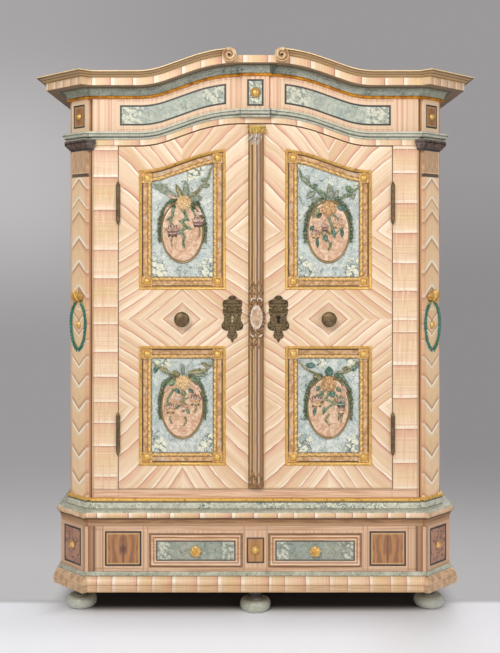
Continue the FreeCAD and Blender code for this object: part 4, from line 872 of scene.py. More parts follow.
@material(Roughness=0.35, Coat_Weight=0.35, Coat_Roughness=0.2)
def medallion(p):
    upper = p.z.above(BETWEEN_PANELS)
    u = (abs(p.x) - PANEL_MIDDLE) / OVAL_WIDE
    v = (p.z - (upper * (UPPER_PANEL - LOWER_PANEL) + OVAL_LEVELS[0])) / OVAL_TALL
    r = root(u * u + v * v)
    pink = p.mix((0.62, 0.38, 0.23), (0.84, 0.58, 0.41), p.noise(34, 3, bend=1.8).ramp(0.35, 0.65))
    vein = (p.noise(46, 3, bend=1.4) * 26).sin()
    rim = p.mix((0.13, 0.07, 0.02), (0.34, 0.2, 0.05), p.noise(10, 3))
    rim = p.mix(rim, (0.52, 0.42, 0.2), r.line(0.968, 0.02) * 0.5)
    pink = p.layers(
        pink,
        ((0.5, 0.24, 0.15), vein.ramp(0.6, 1) * 0.45),
        ((0.92, 0.76, 0.6), vein.ramp(-0.6, -1) * 0.5),
        # painted highlight: a pale line inside the rim, strongest towards the top
        ((0.94, 0.84, 0.68), r.line(0.905, 0.03) * v.ramp(-0.4, 0.3) * 0.9),
    )
    p.colour = p.mix(pink, rim, r.ramp(0.92, 0.935))
    p.lay((0.12, 0.06, 0.03), r.line(0.925, 0.018) * 0.8)
    p.finish(p.noise(1.6, 2), 0.1)


@material(Metallic=0.5, Coat_Weight=0.1)
def gilding(p):
    worn = p.noise(14, 4)
    p.colour = p.mix(GOLD, (0.88, 0.6, 0.22), worn.ramp(0.38, 0.68))
    p.lay(OLD_GOLD, p.noise(6, 3).ramp(0.47, 0.68) * 0.65)
    p.lay((0.28, 0.09, 0.03), p.noise(30, 5, rough=0.7).ramp(0.61, 0.71) * 0.8)
    p.finish(p.noise(2.2, 3), 0.25, rough=worn.ramp(0.3, 0.7) * 0.25 + 0.3)


@material(Metallic=0.4)
def bead_gilding(p):
    worn = p.noise(24, 4)
    p.colour = p.mix((0.5, 0.17, 0.008), (0.84, 0.38, 0.03), worn.ramp(0.35, 0.65))
    p.lay((0.86, 0.58, 0.17), p.z.below(800) * 0.75)
    p.lay((0.2, 0.08, 0.02), p.noise(9, 3).ramp(0.52, 0.72) * 0.7)
    p.finish(p.noise(2.2, 3), 0.2, rough=worn * 0.2 + 0.28)


@material(Metallic=0.2)
def soft_gilding(p):
    worn = p.noise(12, 4)
    p.colour = p.mix((0.8, 0.57, 0.28), (0.95, 0.8, 0.52), worn.ramp(0.35, 0.65))
    p.lay((0.42, 0.24, 0.09), p.noise(4, 3).ramp(0.54, 0.74) * 0.7)
    p.finish(p.noise(2, 3), 0.25, rough=worn * 0.2 + 0.36)


@material(Metallic=0.55)
def iron(p):
    cloud = p.noise(22, 4)
    p.colour = p.mix(IRON, (0.27, 0.18, 0.085), cloud.ramp(0.4, 0.7))
    p.lay((0.06, 0.04, 0.025), p.noise(4, 3).ramp(0.5, 0.75))
    p.finish(p.noise(1.8, 3), 0.3, rough=cloud * 0.2 + 0.34)


@material(Metallic=0.55)
def engraved_iron(p):
    """Iron plate with chased scrolls."""
    cloud = p.noise(22, 4)
    u = abs(abs(p.x) - PLATE_X)
    swirl = p.noise(20, 2, (u, p.z, 0), bend=1.6)
    cut = (swirl * 26 + p.z * 0.35).sin()
    p.colour = p.mix((0.15, 0.1, 0.045), (0.26, 0.185, 0.09), cloud.ramp(0.4, 0.7))
    p.lay((0.04, 0.026, 0.015), cut.ramp(0.2, 0.8) * 0.75)
    p.lay((0.4, 0.31, 0.18), cut.ramp(-0.4, -0.95) * 0.4)
    ridges = ((p.z - KNOB_LEVEL) * 0.62).sin().ramp(0.1, 0.8) * (p.z - KNOB_LEVEL).ramp(12, 20)
    p.lay((0.05, 0.032, 0.018), ridges * 0.5)
    p.finish(cut.ramp(0.8, 0), 0.9, rough=cloud * 0.2 + 0.36)


@material(Roughness=0.25, Coat_Weight=0.5, Coat_Roughness=0.15)
def dark_marbling(p):
    p.colour = marble(p, (0.04, 0.026, 0.022), (0.004, 0.003, 0.005), (0.24, 0.15, 0.11), 20)
    # painted shadow: near-black lines at the capital's steps
    for level in (1664, 1640, 1618):
        p.lay((0.004, 0.003, 0.004), p.z.line(level, 5) * 0.9)
    p.finish(p.noise(1.6, 2), 0.15)


PLANK = 161.5


def bare_pine(p, along):
    """Bare pine, with the seams of the back boards where its grain is upright."""
    p.colour, fine = bare_wood(p, along)
    if along == "z":
        seam = abs((p.x / PLANK + 0.5).fract() - 0.5)
        p.lay((0.1, 0.055, 0.03), seam.ramp(0.012, 0.006) * 0.8)
    p.finish(fine, 0.35)


for way in "xyz":
    MATERIALS["bare_pine_" + way] = (partial(bare_pine, along=way), {"Roughness": 0.75})


@material()
def astragal(p):
    """Ribs in gold, brown, cream and a greyed lavender; the dark stripes in the flutes and the darkened right
    edge are painted shade.
    """
    u = p.x - 3.5 + (p.noise(90, 1, (0, 0, p.z)) - 0.5) * 3
    rib = p.noise(5, 1, (u, 0, p.z * 0.004))
    tone = p.noise(120, 2, (0, 0, p.z)).ramp(0.35, 0.65)
    p.colour = p.mix((0.3, 0.16, 0.065), (0.52, 0.31, 0.14), rib.ramp(0.36, 0.62))
    # stripes along the ribs: the dark ones lie in the flutes as painted shade
    for middle, width, share, rib_colour in (
        (-21, 6, 0.6, (0.74, 0.5, 0.22)), (-14.5, 5, 0.8, (0.1, 0.05, 0.025)),
        (-9, 4, 0.6, (0.7, 0.46, 0.21)),
        (-3, 4.5, tone * 0.45 + 0.25, (0.74, 0.6, 0.5)), (2.5, 4.5, 0.8, (0.09, 0.045, 0.03)),
        (8, 4.5, 0.65 - tone * 0.45, (0.62, 0.52, 0.5)), (14.5, 6, 0.8, (0.24, 0.12, 0.055)),
    ):
        p.lay(rib_colour, u.line(middle, width) * share)
    # painted shade down the right edge
    p.lay((0.11, 0.05, 0.025), u.ramp(20, 22) * 0.75)
    p.varnish()


@material()
def drawer_front(p):
    ax = abs(p.x)
    whole, field, depth = rect(ax, p.z, DRAWER_X, DRAWER_LEVEL, 139, 36, 5.5)
    grain = p.noise(5, 2, (p.x * 0.05, p.y, p.z)).ramp(0.35, 0.65)
    ground = p.mix((0.62, 0.36, 0.2), (0.88, 0.6, 0.4), grain)
    # painted light: the lower part of the moulding is painted pale
    ground = p.mix(ground, (0.92, 0.68, 0.52), p.z.ramp(203, 197) * p.z.ramp(184, 188) * 0.8)
    # painted shade: dark lines in the hollows of the moulding
    ground = p.mix(ground, (0.17, 0.07, 0.03), depth.line(8, 3) * 0.8 + depth.line(19, 5) * 0.9)
    blue = marble(p, (0.28, 0.33, 0.29), (0.08, 0.12, 0.1), (0.46, 0.5, 0.42), 50, 0.9)
    leaves = foliage(p, blue, p.x, p.z, abs(ax - DRAWER_X).ramp(60, 120) * 0.9, 13)
    blue = p.mix(blue, leaves, 0.6)
    p.colour = p.mix(ground, (0.1, 0.095, 0.08), whole)
    p.lay(blue, field)
    p.varnish(0.2, p.behind(-27), "x")


def flat_paint(p, low, high, scale):
    """A plainly painted or stained surface with cloudy variation."""
    p.colour = p.mix(low, high, p.noise(scale, 4).ramp(0.35, 0.7))
    p.finish(p.noise(1.8, 2), 0.2)


PLAIN = {
    "laurel": ((0.045, 0.105, 0.055), (0.38, 0.46, 0.3), 5, 0.45),
    "teal_leaf": ((0.025, 0.085, 0.065), (0.2, 0.33, 0.27), 7, 0.42),
    "amber": ((0.4, 0.21, 0.09), (0.94, 0.66, 0.36), 6, 0.45),
    "teal": ((0.01, 0.1, 0.07), (0.06, 0.32, 0.24), 7, 0.35),
    "grey_laurel": ((0.16, 0.21, 0.155), (0.42, 0.44, 0.34), 7, 0.45),
    "dark_teal": ((0.008, 0.07, 0.05), (0.05, 0.24, 0.17), 6, 0.35),
    "rope_brown": ((0.46, 0.25, 0.1), (0.96, 0.7, 0.4), 8, 0.42),
    "pale_petal": ((0.52, 0.38, 0.32), (0.88, 0.74, 0.64), 6, 0.45),
    "mauve": ((0.1, 0.045, 0.04), (0.38, 0.22, 0.2), 6, 0.5),
    "ribbon": ((0.14, 0.13, 0.05), (0.46, 0.44, 0.26), 7, 0.45),
    "rose_ribbon": ((0.55, 0.33, 0.24), (0.88, 0.68, 0.56), 9, 0.45),
    "carved_brown": ((0.16, 0.08, 0.035), (0.44, 0.25, 0.11), 7, 0.42),
    "dark_leaf": ((0.02, 0.04, 0.025), (0.11, 0.15, 0.09), 7, 0.42),
    "oval_cream": ((0.58, 0.44, 0.36), (0.94, 0.86, 0.78), 9, 0.4),
    "leaf_collar": ((0.18, 0.14, 0.11), (0.8, 0.76, 0.7), 4, 0.4),
    "oval_tan": ((0.42, 0.27, 0.17), (0.7, 0.5, 0.34), 12, 0.4),
    "cup_gilding": ((0.48, 0.3, 0.06), (0.8, 0.6, 0.2), 9, 0.34),
    "crown_light": ((0.66, 0.42, 0.22), (0.9, 0.68, 0.44), 14, 0.42),
    "scroll_shade": ((0.2, 0.085, 0.03), (0.42, 0.22, 0.09), 9, 0.5),
    # keyhole: near-black, the painted shade of a keyhole, also used for the volutes' eyes
    "keyhole": ((0.004, 0.003, 0.003), (0.012, 0.01, 0.008), 9, 0.8),
    "brass": ((0.42, 0.33, 0.2), (0.7, 0.6, 0.42), 6, 0.4),
}
for plain_name, (dark, bright, size, rough) in PLAIN.items():
    MATERIALS[plain_name] = (partial(flat_paint, low=dark, high=bright, scale=size), {"Roughness": rough})

# ---------------------------------------------------------------- finishes of the CAD nodes

# each finish and its CAD nodes; * stands for left and right
FINISHES = {
    "foot_marbling": "bun_feet",
    "cross_banding": "base_moulding",
    "green_marbling": "base_fillet",
    "plinth_cove": "plinth_cove",
    "nosing_banding": "waist_nosing",
    "blue_marbling": "waist_strip",
    "plinth": "plinth_front",
    "plinth_sides": "plinth_sides",
    "case_side": "case_sides",
    "groove": "corner_posts",
    "stiles": "face_frame",
    "frieze": "frieze_board",
    "pilaster": "pilasters",
    "dark_marbling": "pilaster_capitals",
    "strip_banding": "head_strip",
    "architrave": "architrave",
    "bead_gilding": "gilt_beads",
    "cove": "cornice_cove",
    "cornice_banding": "cornice_band",
    "crown": "cornice_crown",
    "astragal": "door_astragal",
    "bare_pine_x": "plinth_floor plinth_back case_floor roof_board shelves",
    "bare_pine_y": "drawer_partitions drawer_runners shelf_cleats *_drawer_box",
    "bare_pine_z": "back_boards",
    "iron": "hinge_posts lock_case lock_bolt top_bolt bottom_bolt left_door_keeps *_door_hinge_caps "
            "*_door_knob",
    "gilding": "pilaster_wreaths gilt_bosses *_door_gilt_mouldings *_drawer_pull",
    "door_veneer_left": "left_door_frame",
    "door_veneer_right": "right_door_frame",
    "panel": "*_door_panels",
    "medallion": "*_door_medallions",
    "laurel": "*_door_garlands",
    "engraved_iron": "*_door_escutcheon",
    "drawer_front": "*_drawer_front",
}


def node_object(name):
    """The CAD object of one node."""
    found = frame["nodes"][name]
    return found if isinstance(found, bpy.types.Object) else bpy.data.objects[str(found)]


for finish_name, node_names in FINISHES.items():
    for node_name in node_names.split():
        for side in HANDS if "*" in node_name else ("",):
            piece = node_object(node_name.replace("*", side))
            piece.data.materials.clear()
            piece.data.materials.append(paint_for(finish_name))

# ---------------------------------------------------------------- modelled pieces


UP = Vector((0, 0, 1))


class Place:
    """A local frame: u to the right, v up, w out of the surface."""

    def __init__(self, origin, right=(1, 0, 0), out=(0, -1, 0)):
        self.origin = Vector(origin)
        self.right = Vector(right).normalized()
        self.out = Vector(out).normalized()
        self.flipped = self.right.cross(UP).dot(self.out) < 0

    def at(self, u, v, w=0):
        return self.origin + self.right * u + UP * v + self.out * w


LEAF_SECTION = ((1, 0), (0.55, 0.95), (0, 0.62), (-0.55, 0.95), (-1, 0))


def even(start, end, count):
    """Evenly spaced numbers from start to end, in this many steps."""
    return [start + (end - start) * k / count for k in range(count + 1)]


def around(count):
    """The angles of this many points round a circle."""
    return even(0, 2 * pi, count)[:-1]


class Carving:
    """Gathers the faces of one carved, turned or moulded piece."""

    def __init__(self, place):
        self.place = place
        self.verts = []
        self.faces = []
        self.marks = []

    def grid(self, rows, closed=False, mark=0):
        """Rows of local points joined into a sheet; closed joins each row's ends."""
        base = len(self.verts)
        count = len(rows[0])
        for row in rows:
            self.verts += [self.place.at(*point) * M for point in row]
        steps = count if closed else count - 1
        for r in range(len(rows) - 1):
            for c in range(steps):
                d = (c + 1) % count
                quad = [base + r * count + c, base + r * count + d,
                        base + (r + 1) * count + d, base + (r + 1) * count + c]
                self.faces.append(quad[::-1] if self.place.flipped else quad)
                self.marks.append(mark(r, c) if callable(mark) else mark)

    def turned(self, u, v, profile, segments=20, stretch=1, mark=0, base=0, lobes=0, lobe=0):
        """A turned form from (radius, height) pairs; lobes gives it a scalloped edge."""
        circle = [(1 + lobe * cos(lobes * a), a) for a in around(segments)]
        rows = [[(u + radius * r * cos(a), v + radius * r * stretch * sin(a), base + height)
                 for r, a in circle] for radius, height in profile]
        self.grid(rows, True, mark)

    def leaf(self, u, v, angle, length, width, height, base=0, lift=0, bend=0, mark=0, tip=0.85):
        """A pointed leaf with a sunk midrib, from its foot at (u, v)."""
        rows = []
        steps = 6
        x, z, heading = u, v, angle
        for k in range(steps + 1):
            t = k / steps
            half = width * 0.5 * (sin(pi * min(t ** tip, 1)) ** 0.8 if 0 < k < steps else 0.06)
            crown = height * (sin(pi * (0.12 + 0.83 * t)) ** 0.7)
            rise = base + lift * t
            rows.append([(x - sin(heading) * half * s, z + cos(heading) * half * s, rise + crown * h)
                         for s, h in LEAF_SECTION])
            heading += bend / steps
            x += cos(heading) * length / steps
            z += sin(heading) * length / steps
        self.grid(rows, False, mark)

    def tube(self, points, radius, segments=8, mark=0, flat=1):
        """A rod through local points; radius may be one value or one for each point."""
        rows = []
        path = [Vector(p) for p in points]
        for k, p in enumerate(path):
            ahead = path[min(k + 1, len(path) - 1)] - path[max(k - 1, 0)]
            ahead.normalize()
            side = ahead.cross(UP)
            side = side.normalized() if side.length > 1e-4 else Vector((1, 0, 0))
            over = side.cross(ahead)
            r = radius[k] if isinstance(radius, (list, tuple)) else radius
            rows.append([tuple(p + side * (r * cos(a)) + over * (r * flat * sin(a)))
                         for a in around(segments)])
        self.grid(rows, True, mark)

    def fit(self, body, name, finishes, slot, replaced, **edges):
        """Makes a piece of a door or drawer in the place of the body's node of that name."""
        self.make("%s_%s" % (body, name), body, finishes, slot, ["%s_%s" % (body, replaced)], **edges)

    def make(self, name, body, finishes, slot, replaces=(), sharp=0.7):
        mesh = bpy.data.meshes.new(name)
        mesh.from_pydata([tuple(v) for v in self.verts], [], self.faces)
        for finish in finishes:
            mesh.materials.append(paint_for(finish))
        for face, mark in zip(mesh.polygons, self.marks):
            face.material_index = mark
            face.use_smooth = True
        mesh.set_sharp_from_angle(angle=sharp)
        mesh.update()
        piece = bpy.data.objects.new(name, mesh)
        bpy.context.scene.collection.objects.link(piece)
        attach(piece, body)
        if replaces:
            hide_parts(*replaces)


def curve(points, steps=6):
    """A smooth line through local points."""
    pts = [Vector(p) for p in points]
    pts = [pts[0] * 2 - pts[1]] + pts + [pts[-1] * 2 - pts[-2]]
    line = []
    for a, b, c, d in zip(pts, pts[1:], pts[2:], pts[3:]):
        for k in range(steps):
            t = k / steps
            line.append(0.5 * ((2 * b) + (c - a) * t + (2 * a - 5 * b + 4 * c - d) * t * t
                               + (3 * b - a - 3 * c + d) * t ** 3))
    return [tuple(p) for p in line + [pts[-2]]]


DOME = ((1, 0), (1, 0.12), (0.92, 0.2), (0.84, 0.3), (0.8, 0.5), (0.62, 0.78), (0.34, 0.95), (0, 1))


def dome(carving, u, v, radius, height, base=0, mark=0):
    """A cast boss: a flat collar with a dome on it."""
    carving.turned(u, v, [(radius * r, height * h) for r, h in DOME], 20, 1, mark, base)


def cushion(carving, u, v, radius, height, base=0, mark=0):
    """A squarish cast boss with rounded corners."""
    rows = []
    for share, rise in DOME:
        row = []
        for a in around(24):
            square = 1 / (abs(cos(a)) ** 4 + abs(sin(a)) ** 4) ** 0.25
            reach = radius * share * (1 + (square - 1) * share)
            row.append((u + reach * cos(a), v + reach * sin(a), base + height * rise))
        rows.append(row)
    carving.grid(rows, True, mark)


def corners(u, v, wide, tall, height):
    """The four corners of a rectangle, from its middle and its half sizes."""
    return [(u + a * wide, v + b * tall, height) for a, b in ((-1, -1), (1, -1), (1, 1), (-1, 1))]


def oval(u, v, wide, tall, height, count):
    """A row of points round an ellipse."""
    return [(u + wide * cos(a), v + tall * sin(a), height) for a in around(count)]


GOLDEN_TURN = 2.39996
ROSETTE_GROUND = ((0.86, 0), (0.84, 0.25), (0.6, 0.62), (0.3, 0.8), (0, 0.86))


def rosette(carving, u, v, radius, height, base=0, mark=0, petals=64):
    """A dense round flower: small petals laid in spirals over a dome."""
    ground = [(radius * r, height * h) for r, h in ROSETTE_GROUND]
    carving.turned(u, v, ground, 20, 1, AMBER, base)
    for k in range(petals):
        share = sqrt((k + 0.5) / petals)
        a = k * GOLDEN_TURN
        rise = height * 0.86 * sqrt(max(0.05, 1 - share * share))
        long = radius * (0.24 + 0.12 * share)
        reach = radius * 0.9 * share - long * 0.55
        carving.leaf(u + reach * cos(a), v + reach * sin(a), a + rng.uniform(-0.25, 0.25), long,
                     radius * (0.17 + 0.07 * share), height * 0.16, base + rise * 0.9,
                     height * (0.06 - 0.22 * share), 0, mark, 1.6)


def window(inset, low, arched):
    """The panel's outline at this inset, in the door's u (away from the hinge) and level."""
    left = -PANEL_FAR + inset
    right = -PANEL_NEAR - inset
    top = [(x, low + PANEL_TALL - inset + arch(x) * arched) for x in even(right, left, ARCH_STEPS)]
    return [(left, low + inset), (right, low + inset)] + top


def ring(carving, low, arched, section, mark=0):
    """A moulding round a panel from (inset, height) pairs of its section."""
    rows = [[(x, z, height) for x, z in window(inset, low, arched)] for inset, height in section]
    carving.grid(rows[::-1], True, mark)


GILT_SECTION = ((0, -RECESS), (0, 2), (1.2, 4), (3.2, 5.6), (5.4, 4.8), (7, 1.6), (8.4, 0.9), (9.8, -1),
                (10.6, -RECESS))


def wound_rod(carving, path, radius, pitch):
    """A rod wound with a gilt ribbon: the ribbon's faces are marked 1."""
    rows = []
    spots = [Vector(p) for p in path]
    runs = [(b - a).length for a, b in zip(spots, spots[1:])]
    total = sum(runs)
    steps = int(total / 1.7)
    segments = 10
    phases = [2 * pi * target / pitch for target in even(0, total, steps)]
    for left, phase in zip(even(0, total, steps), phases):
        index = 0
        while index < len(runs) - 1 and left > runs[index]:
            left -= runs[index]
            index += 1
        way = (spots[index + 1] - spots[index]).normalized()
        centre = spots[index] + way * left
        side = way.cross(UP).normalized()
        row = []
        for a in even(0, pi, segments):
            r = radius * (1 + 0.36 * max(cos(a - phase), -0.35))
            row.append(tuple(centre + side * (r * cos(a)) + UP * (r * 0.95 * sin(a))))
        rows.append(row)

    def ribbon(r, c):
        return 1 if cos(pi * (c + 0.5) / segments - phases[r]) > -0.12 else 0

    carving.grid(rows, False, ribbon)


def door_place(side, u=0, level=0):
    """A place on the door's front; u runs as X does on the left door and is mirrored on the right one."""
    return Place((-HANDS[side] * u, FRONT, level), right=(-HANDS[side], 0, 0))


# the blocks in a panel's corners, and the rods between them
BLOCK_INSET = 28.5
BLOCK_SECTION = ((17.5, -RECESS), (17.5, -3.6), (15.9, -2), (14.3, -2.6), (13.9, -3.4), (0.5, -3.4))
ROD_INSET = 37
ROD_END = 46.5


def make_panel_mouldings(side):
    """Gilt frames, wound rods and corner bosses of one door's two panels."""
    carving = Carving(door_place(side))
    for low, arched in ((LOWER_PANEL, False), (UPPER_PANEL, True)):
        head = low + PANEL_TALL
        ring(carving, low, arched, GILT_SECTION, 1)
        for x in (-PANEL_FAR + BLOCK_INSET, -PANEL_NEAR - BLOCK_INSET):
            for z in (low + BLOCK_INSET, head - BLOCK_INSET + arch(x) * arched):
                carving.grid([corners(x, z, size, size, height) for size, height in BLOCK_SECTION], True)
                cushion(carving, x, z, 14, 9.5, -3.4, 1)
        left = -PANEL_FAR + ROD_END
        right = -PANEL_NEAR - ROD_END
        rods = [[(x, low + ROD_END), (x, head - ROD_END + arch(x) * arched)]
                for x in (-PANEL_FAR + ROD_INSET, -PANEL_NEAR - ROD_INSET)]
        rods.append([(left, low + ROD_INSET), (right, low + ROD_INSET)])
        rods.append([(x, head - ROD_INSET + arch(x) * arched) for x in even(left, right, ARCH_STEPS)])
        for rod in rods:
            wound_rod(carving, [(x, z, -RECESS + 0.6) for x, z in rod], 5.2, 23)
    carving.fit(side + "_door", "panel_mouldings", ["rope_brown", "gilding"], "gilding", "gilt_mouldings")


OVAL_SECTION = ((1, 0), (1, 3.5), (0.99, 6), (0.97, 7.4), (0.945, 7), (0.925, 5), (0.91, 4), (0.89, 4.6),
                (0.7, 6.4), (0.45, 7.8), (0.2, 8.4), (0, 8.5))


def make_medallions(side):
    """The domed ovals in the middle of one door's two panels."""
    carving = Carving(door_place(side))
    for level in OVAL_LEVELS:
        rows = [oval(-PANEL_MIDDLE, level, OVAL_WIDE * share, OVAL_TALL * share, height - RECESS, 64)
                for share, height in OVAL_SECTION]
        carving.grid(rows, True)
    carving.fit(side + "_door", "oval_medallions", ["medallion"], "gilding", "medallions")


def laurel_branch(carving, centre_u, level, hand, base, last):
    """Overlapping laurel leaves on a dark stem down one side of a medallion."""
    count = 15
    stem = []
    for k in range(count):
        t = k / (count - 1)
        a = radians(76 + (last - 76) * t)
        wide = 83.5 - 3 * cos(3 * a)
        u = centre_u + hand * wide * cos(a)
        v = level + 119 * sin(a)
        stem.append((u, v, base + 2))
        heading = atan2(-119 * cos(a), hand * wide * sin(a))
        for spread, size in ((0.42, 1), (-0.42, 0.95), (0, 0.85)):
            turn = heading + spread * hand * (1 + rng.uniform(-0.25, 0.25))
            long = (18 + rng.uniform(-2.5, 2.5)) * size
            tone = rng.choice((GREEN, GREY, GREEN, OLIVE))
            carving.leaf(u, v, turn, long, 6.4 * size, 6, base + (4.5 if spread == 0 else 1.5),
                         rng.uniform(1, 3), rng.uniform(-0.3, 0.3), tone)
    carving.tube(stem, 4.4, 8, DARK, 0.6)


def bloom(carving, u, v, wide, tall, base, petal, cup):
    """A carved flower: pale petals on a dark ground above a striped cup."""
    ground = [(wide * 0.47, 0), (wide * 0.47, 2.2), (wide * 0.36, 3.6), (0, 4.2)]
    carving.turned(u, v + tall * 0.06, ground, 18, tall / wide * 0.82, petal, base)
    for k, spread in enumerate(even(-1, 1, 4)):
        long = tall * (0.56 - 0.05 * abs(spread)) * rng.uniform(0.92, 1.08)
        carving.leaf(u + spread * wide * 0.16, v - tall * 0.06, pi / 2 - spread * 1.15, long, wide * 0.19,
                     5, base + 3.4, 1, spread * 0.4, PETAL if k % 2 else ROSY)
        carving.leaf(u + spread * wide * 0.1, v + tall * 0.02, pi / 2 - spread * 1.45, long * 1.1,
                     wide * 0.24, 5, base + 0.6, 1, spread * 0.4, petal)
    profile = [(wide * 0.4, 0), (wide * 0.4, 5), (wide * 0.3, 8), (wide * 0.14, 9.4), (0, 9.8)]
    carving.turned(u, v - tall * 0.26, profile, 18, 0.55, cup, base)
    lip = [(u - wide * 0.36 * cos(a), v - tall * 0.18 - wide * 0.12 * sin(a), base + 8.6)
           for a in even(pi * 0.1, pi * 0.9, 16)]
    carving.tube(lip, [0.5 + 0.9 * sin(a) for a in even(0, pi, 16)], 7, PETAL)
    for spread in (-0.8, 0, 0.8):
        carving.leaf(u + spread * wide * 0.25, v - tall * 0.38, -pi / 2 + spread * 0.8, tall * 0.28,
                     wide * 0.18, 4.4, base + 1, 0, 0, DARK if spread else cup)


# finishes of the carved work, and their marks
CARVED_FINISHES = ("laurel", "mauve", "ribbon", "rose_ribbon", "soft_gilding", "grey_laurel", "pale_petal",
                   "dark_leaf", "teal_leaf", "amber")
GREEN, MAUVE, OLIVE, ROSY, SOFT_GOLD, GREY, PETAL, DARK, TEAL, AMBER = range(10)

# carved work of each panel, in millimetres from the medallion's middle
# head; stems: (points, thickness, finish); leaves: (from u, v, to u, v, width, bend, finish);
# blooms: (u, v, width, height, petals, cup)
LEFT_UPPER = (
    (5, 101),
    ((((24, 124), (44, 136), (68, 160), (88, 186), (104, 230)), 5, OLIVE),
     (((-22, 124), (-52, 134), (-80, 146), (-102, 170)), 4.8, GREY),
     (((-32, 84), (-34, 62), (-40, 40), (-38, 20)), 6.2, GREEN),
     (((4, 76), (14, 50), (0, 34), (12, 16), (-4, 0), (8, -16), (2, -38)), 6.4, GREEN),
     (((30, 86), (42, 66), (50, 50)), 4.4, GREEN),
     (((60, 18), (62, 0), (58, -20)), 2.8, OLIVE),
     (((-36, -20), (-38, -36), (-36, -52)), 3.2, OLIVE)),
    ((22, 112, 72, 122, 30, 0.3, GREY), (26, 118, 66, 148, 16, -0.5, OLIVE),
     (34, 100, 66, 98, 18, -0.6, DARK), (-18, 116, -56, 132, 20, 0.3, ROSY),
     (-18, 124, -66, 150, 18, -0.3, GREY), (-48, 140, -96, 166, 32, 0.3, GREY),
     (12, 112, 12, 182, 24, 0.15, GREY), (-4, 114, -22, 168, 20, 0.3, OLIVE),
     (72, 158, 98, 168, 15, 0.4, GREY), (90, 188, 64, 178, 13, -0.4, GREEN), (-22, 92, -38, 84, 15, 0, DARK),
     (30, 90, 48, 80, 15, 0, DARK), (-40, 100, -66, 60, 13, 0.4, ROSY), (46, 92, 70, 60, 12, -0.4, ROSY),
     (4, 4, -26, -12, 13, 0.4, GREY), (10, 18, 36, 8, 11, 0.4, GREEN), (12, 50, 26, 36, 10, 0.2, TEAL),
     (40, 66, 76, 62, 14, 0.3, PETAL), (38, 60, 66, 46, 13, -0.3, ROSY), (2, -30, 8, -60, 10, 0.4, GREEN),
     (8, 30, -14, 40, 9, -0.4, GREY), (-38, 50, -56, 40, 9, 0.3, GREEN)),
    ((-34, 4, 44, 38, MAUVE, MAUVE), (56, 36, 42, 34, MAUVE, MAUVE)),
)
RIGHT_UPPER = (
    (1, 81),
    ((((-14, 118), (-40, 146), (-69, 166), (-91, 185), (-101, 217)), 5.4, GREEN),
     (((24, 120), (50, 120), (81, 137), (106, 156)), 5.2, GREEN),
     (((0, 52), (8, 30), (14, 8), (24, -10)), 5.6, GREEN),
     (((-12, 50), (-24, 30), (-38, 16)), 5, ROSY),
     (((12, 60), (26, 54), (38, 44)), 4.4, GREEN),
     (((-14, 12), (-22, -6), (-12, -22), (4, -40), (0, -66)), 3.8, OLIVE),
     (((-44, -20), (-42, -36), (-38, -56)), 3, GREEN),
     (((24, -10), (34, 2), (46, 10)), 2.8, GREEN)),
    ((8, 108, 3, 170, 26, 0.1, GREY), (-8, 110, -30, 150, 18, 0.4, GREEN),
     (22, 112, 34, 150, 16, -0.3, GREY), (-18, 106, -62, 112, 28, -0.3, GREY),
     (-48, 142, -78, 116, 22, 0.3, GREY), (-72, 170, -94, 194, 20, 0.5, GREY),
     (-60, 160, -36, 166, 14, 0.4, GREEN), (84, 140, 60, 160, 22, 0.4, GREEN),
     (92, 144, 84, 112, 16, 0.3, GREY), (52, 124, 78, 128, 14, -0.4, OLIVE), (30, 90, 66, 78, 24, 0.2, TEAL),
     (-32, 84, -56, 46, 24, 0.2, OLIVE), (-24, 66, -40, 46, 14, 0, DARK), (20, 50, 44, 62, 14, 0.4, PETAL),
     (-56, 40, -64, 16, 20, -0.3, ROSY), (-34, 40, -20, 12, 18, 0.3, PETAL),
     (-50, 20, -66, 6, 16, 0.2, TEAL), (14, 20, 22, -24, 15, 0.2, TEAL), (48, 12, 48, -22, 14, 0.2, TEAL),
     (-12, -8, -8, -36, 18, 0.4, TEAL), (-40, -24, -38, -58, 13, 0.1, TEAL),
     (12, -34, -2, -68, 9, -0.3, GREEN), (-14, 6, 14, -12, 10, 0.3, OLIVE),
     (-4, -20, -24, -28, 12, 0.3, GREEN)),
    ((38, 30, 46, 32, AMBER, AMBER), (-45, -8, 34, 28, MAUVE, AMBER), (-14, 16, 28, 24, ROSY, MAUVE)),
)
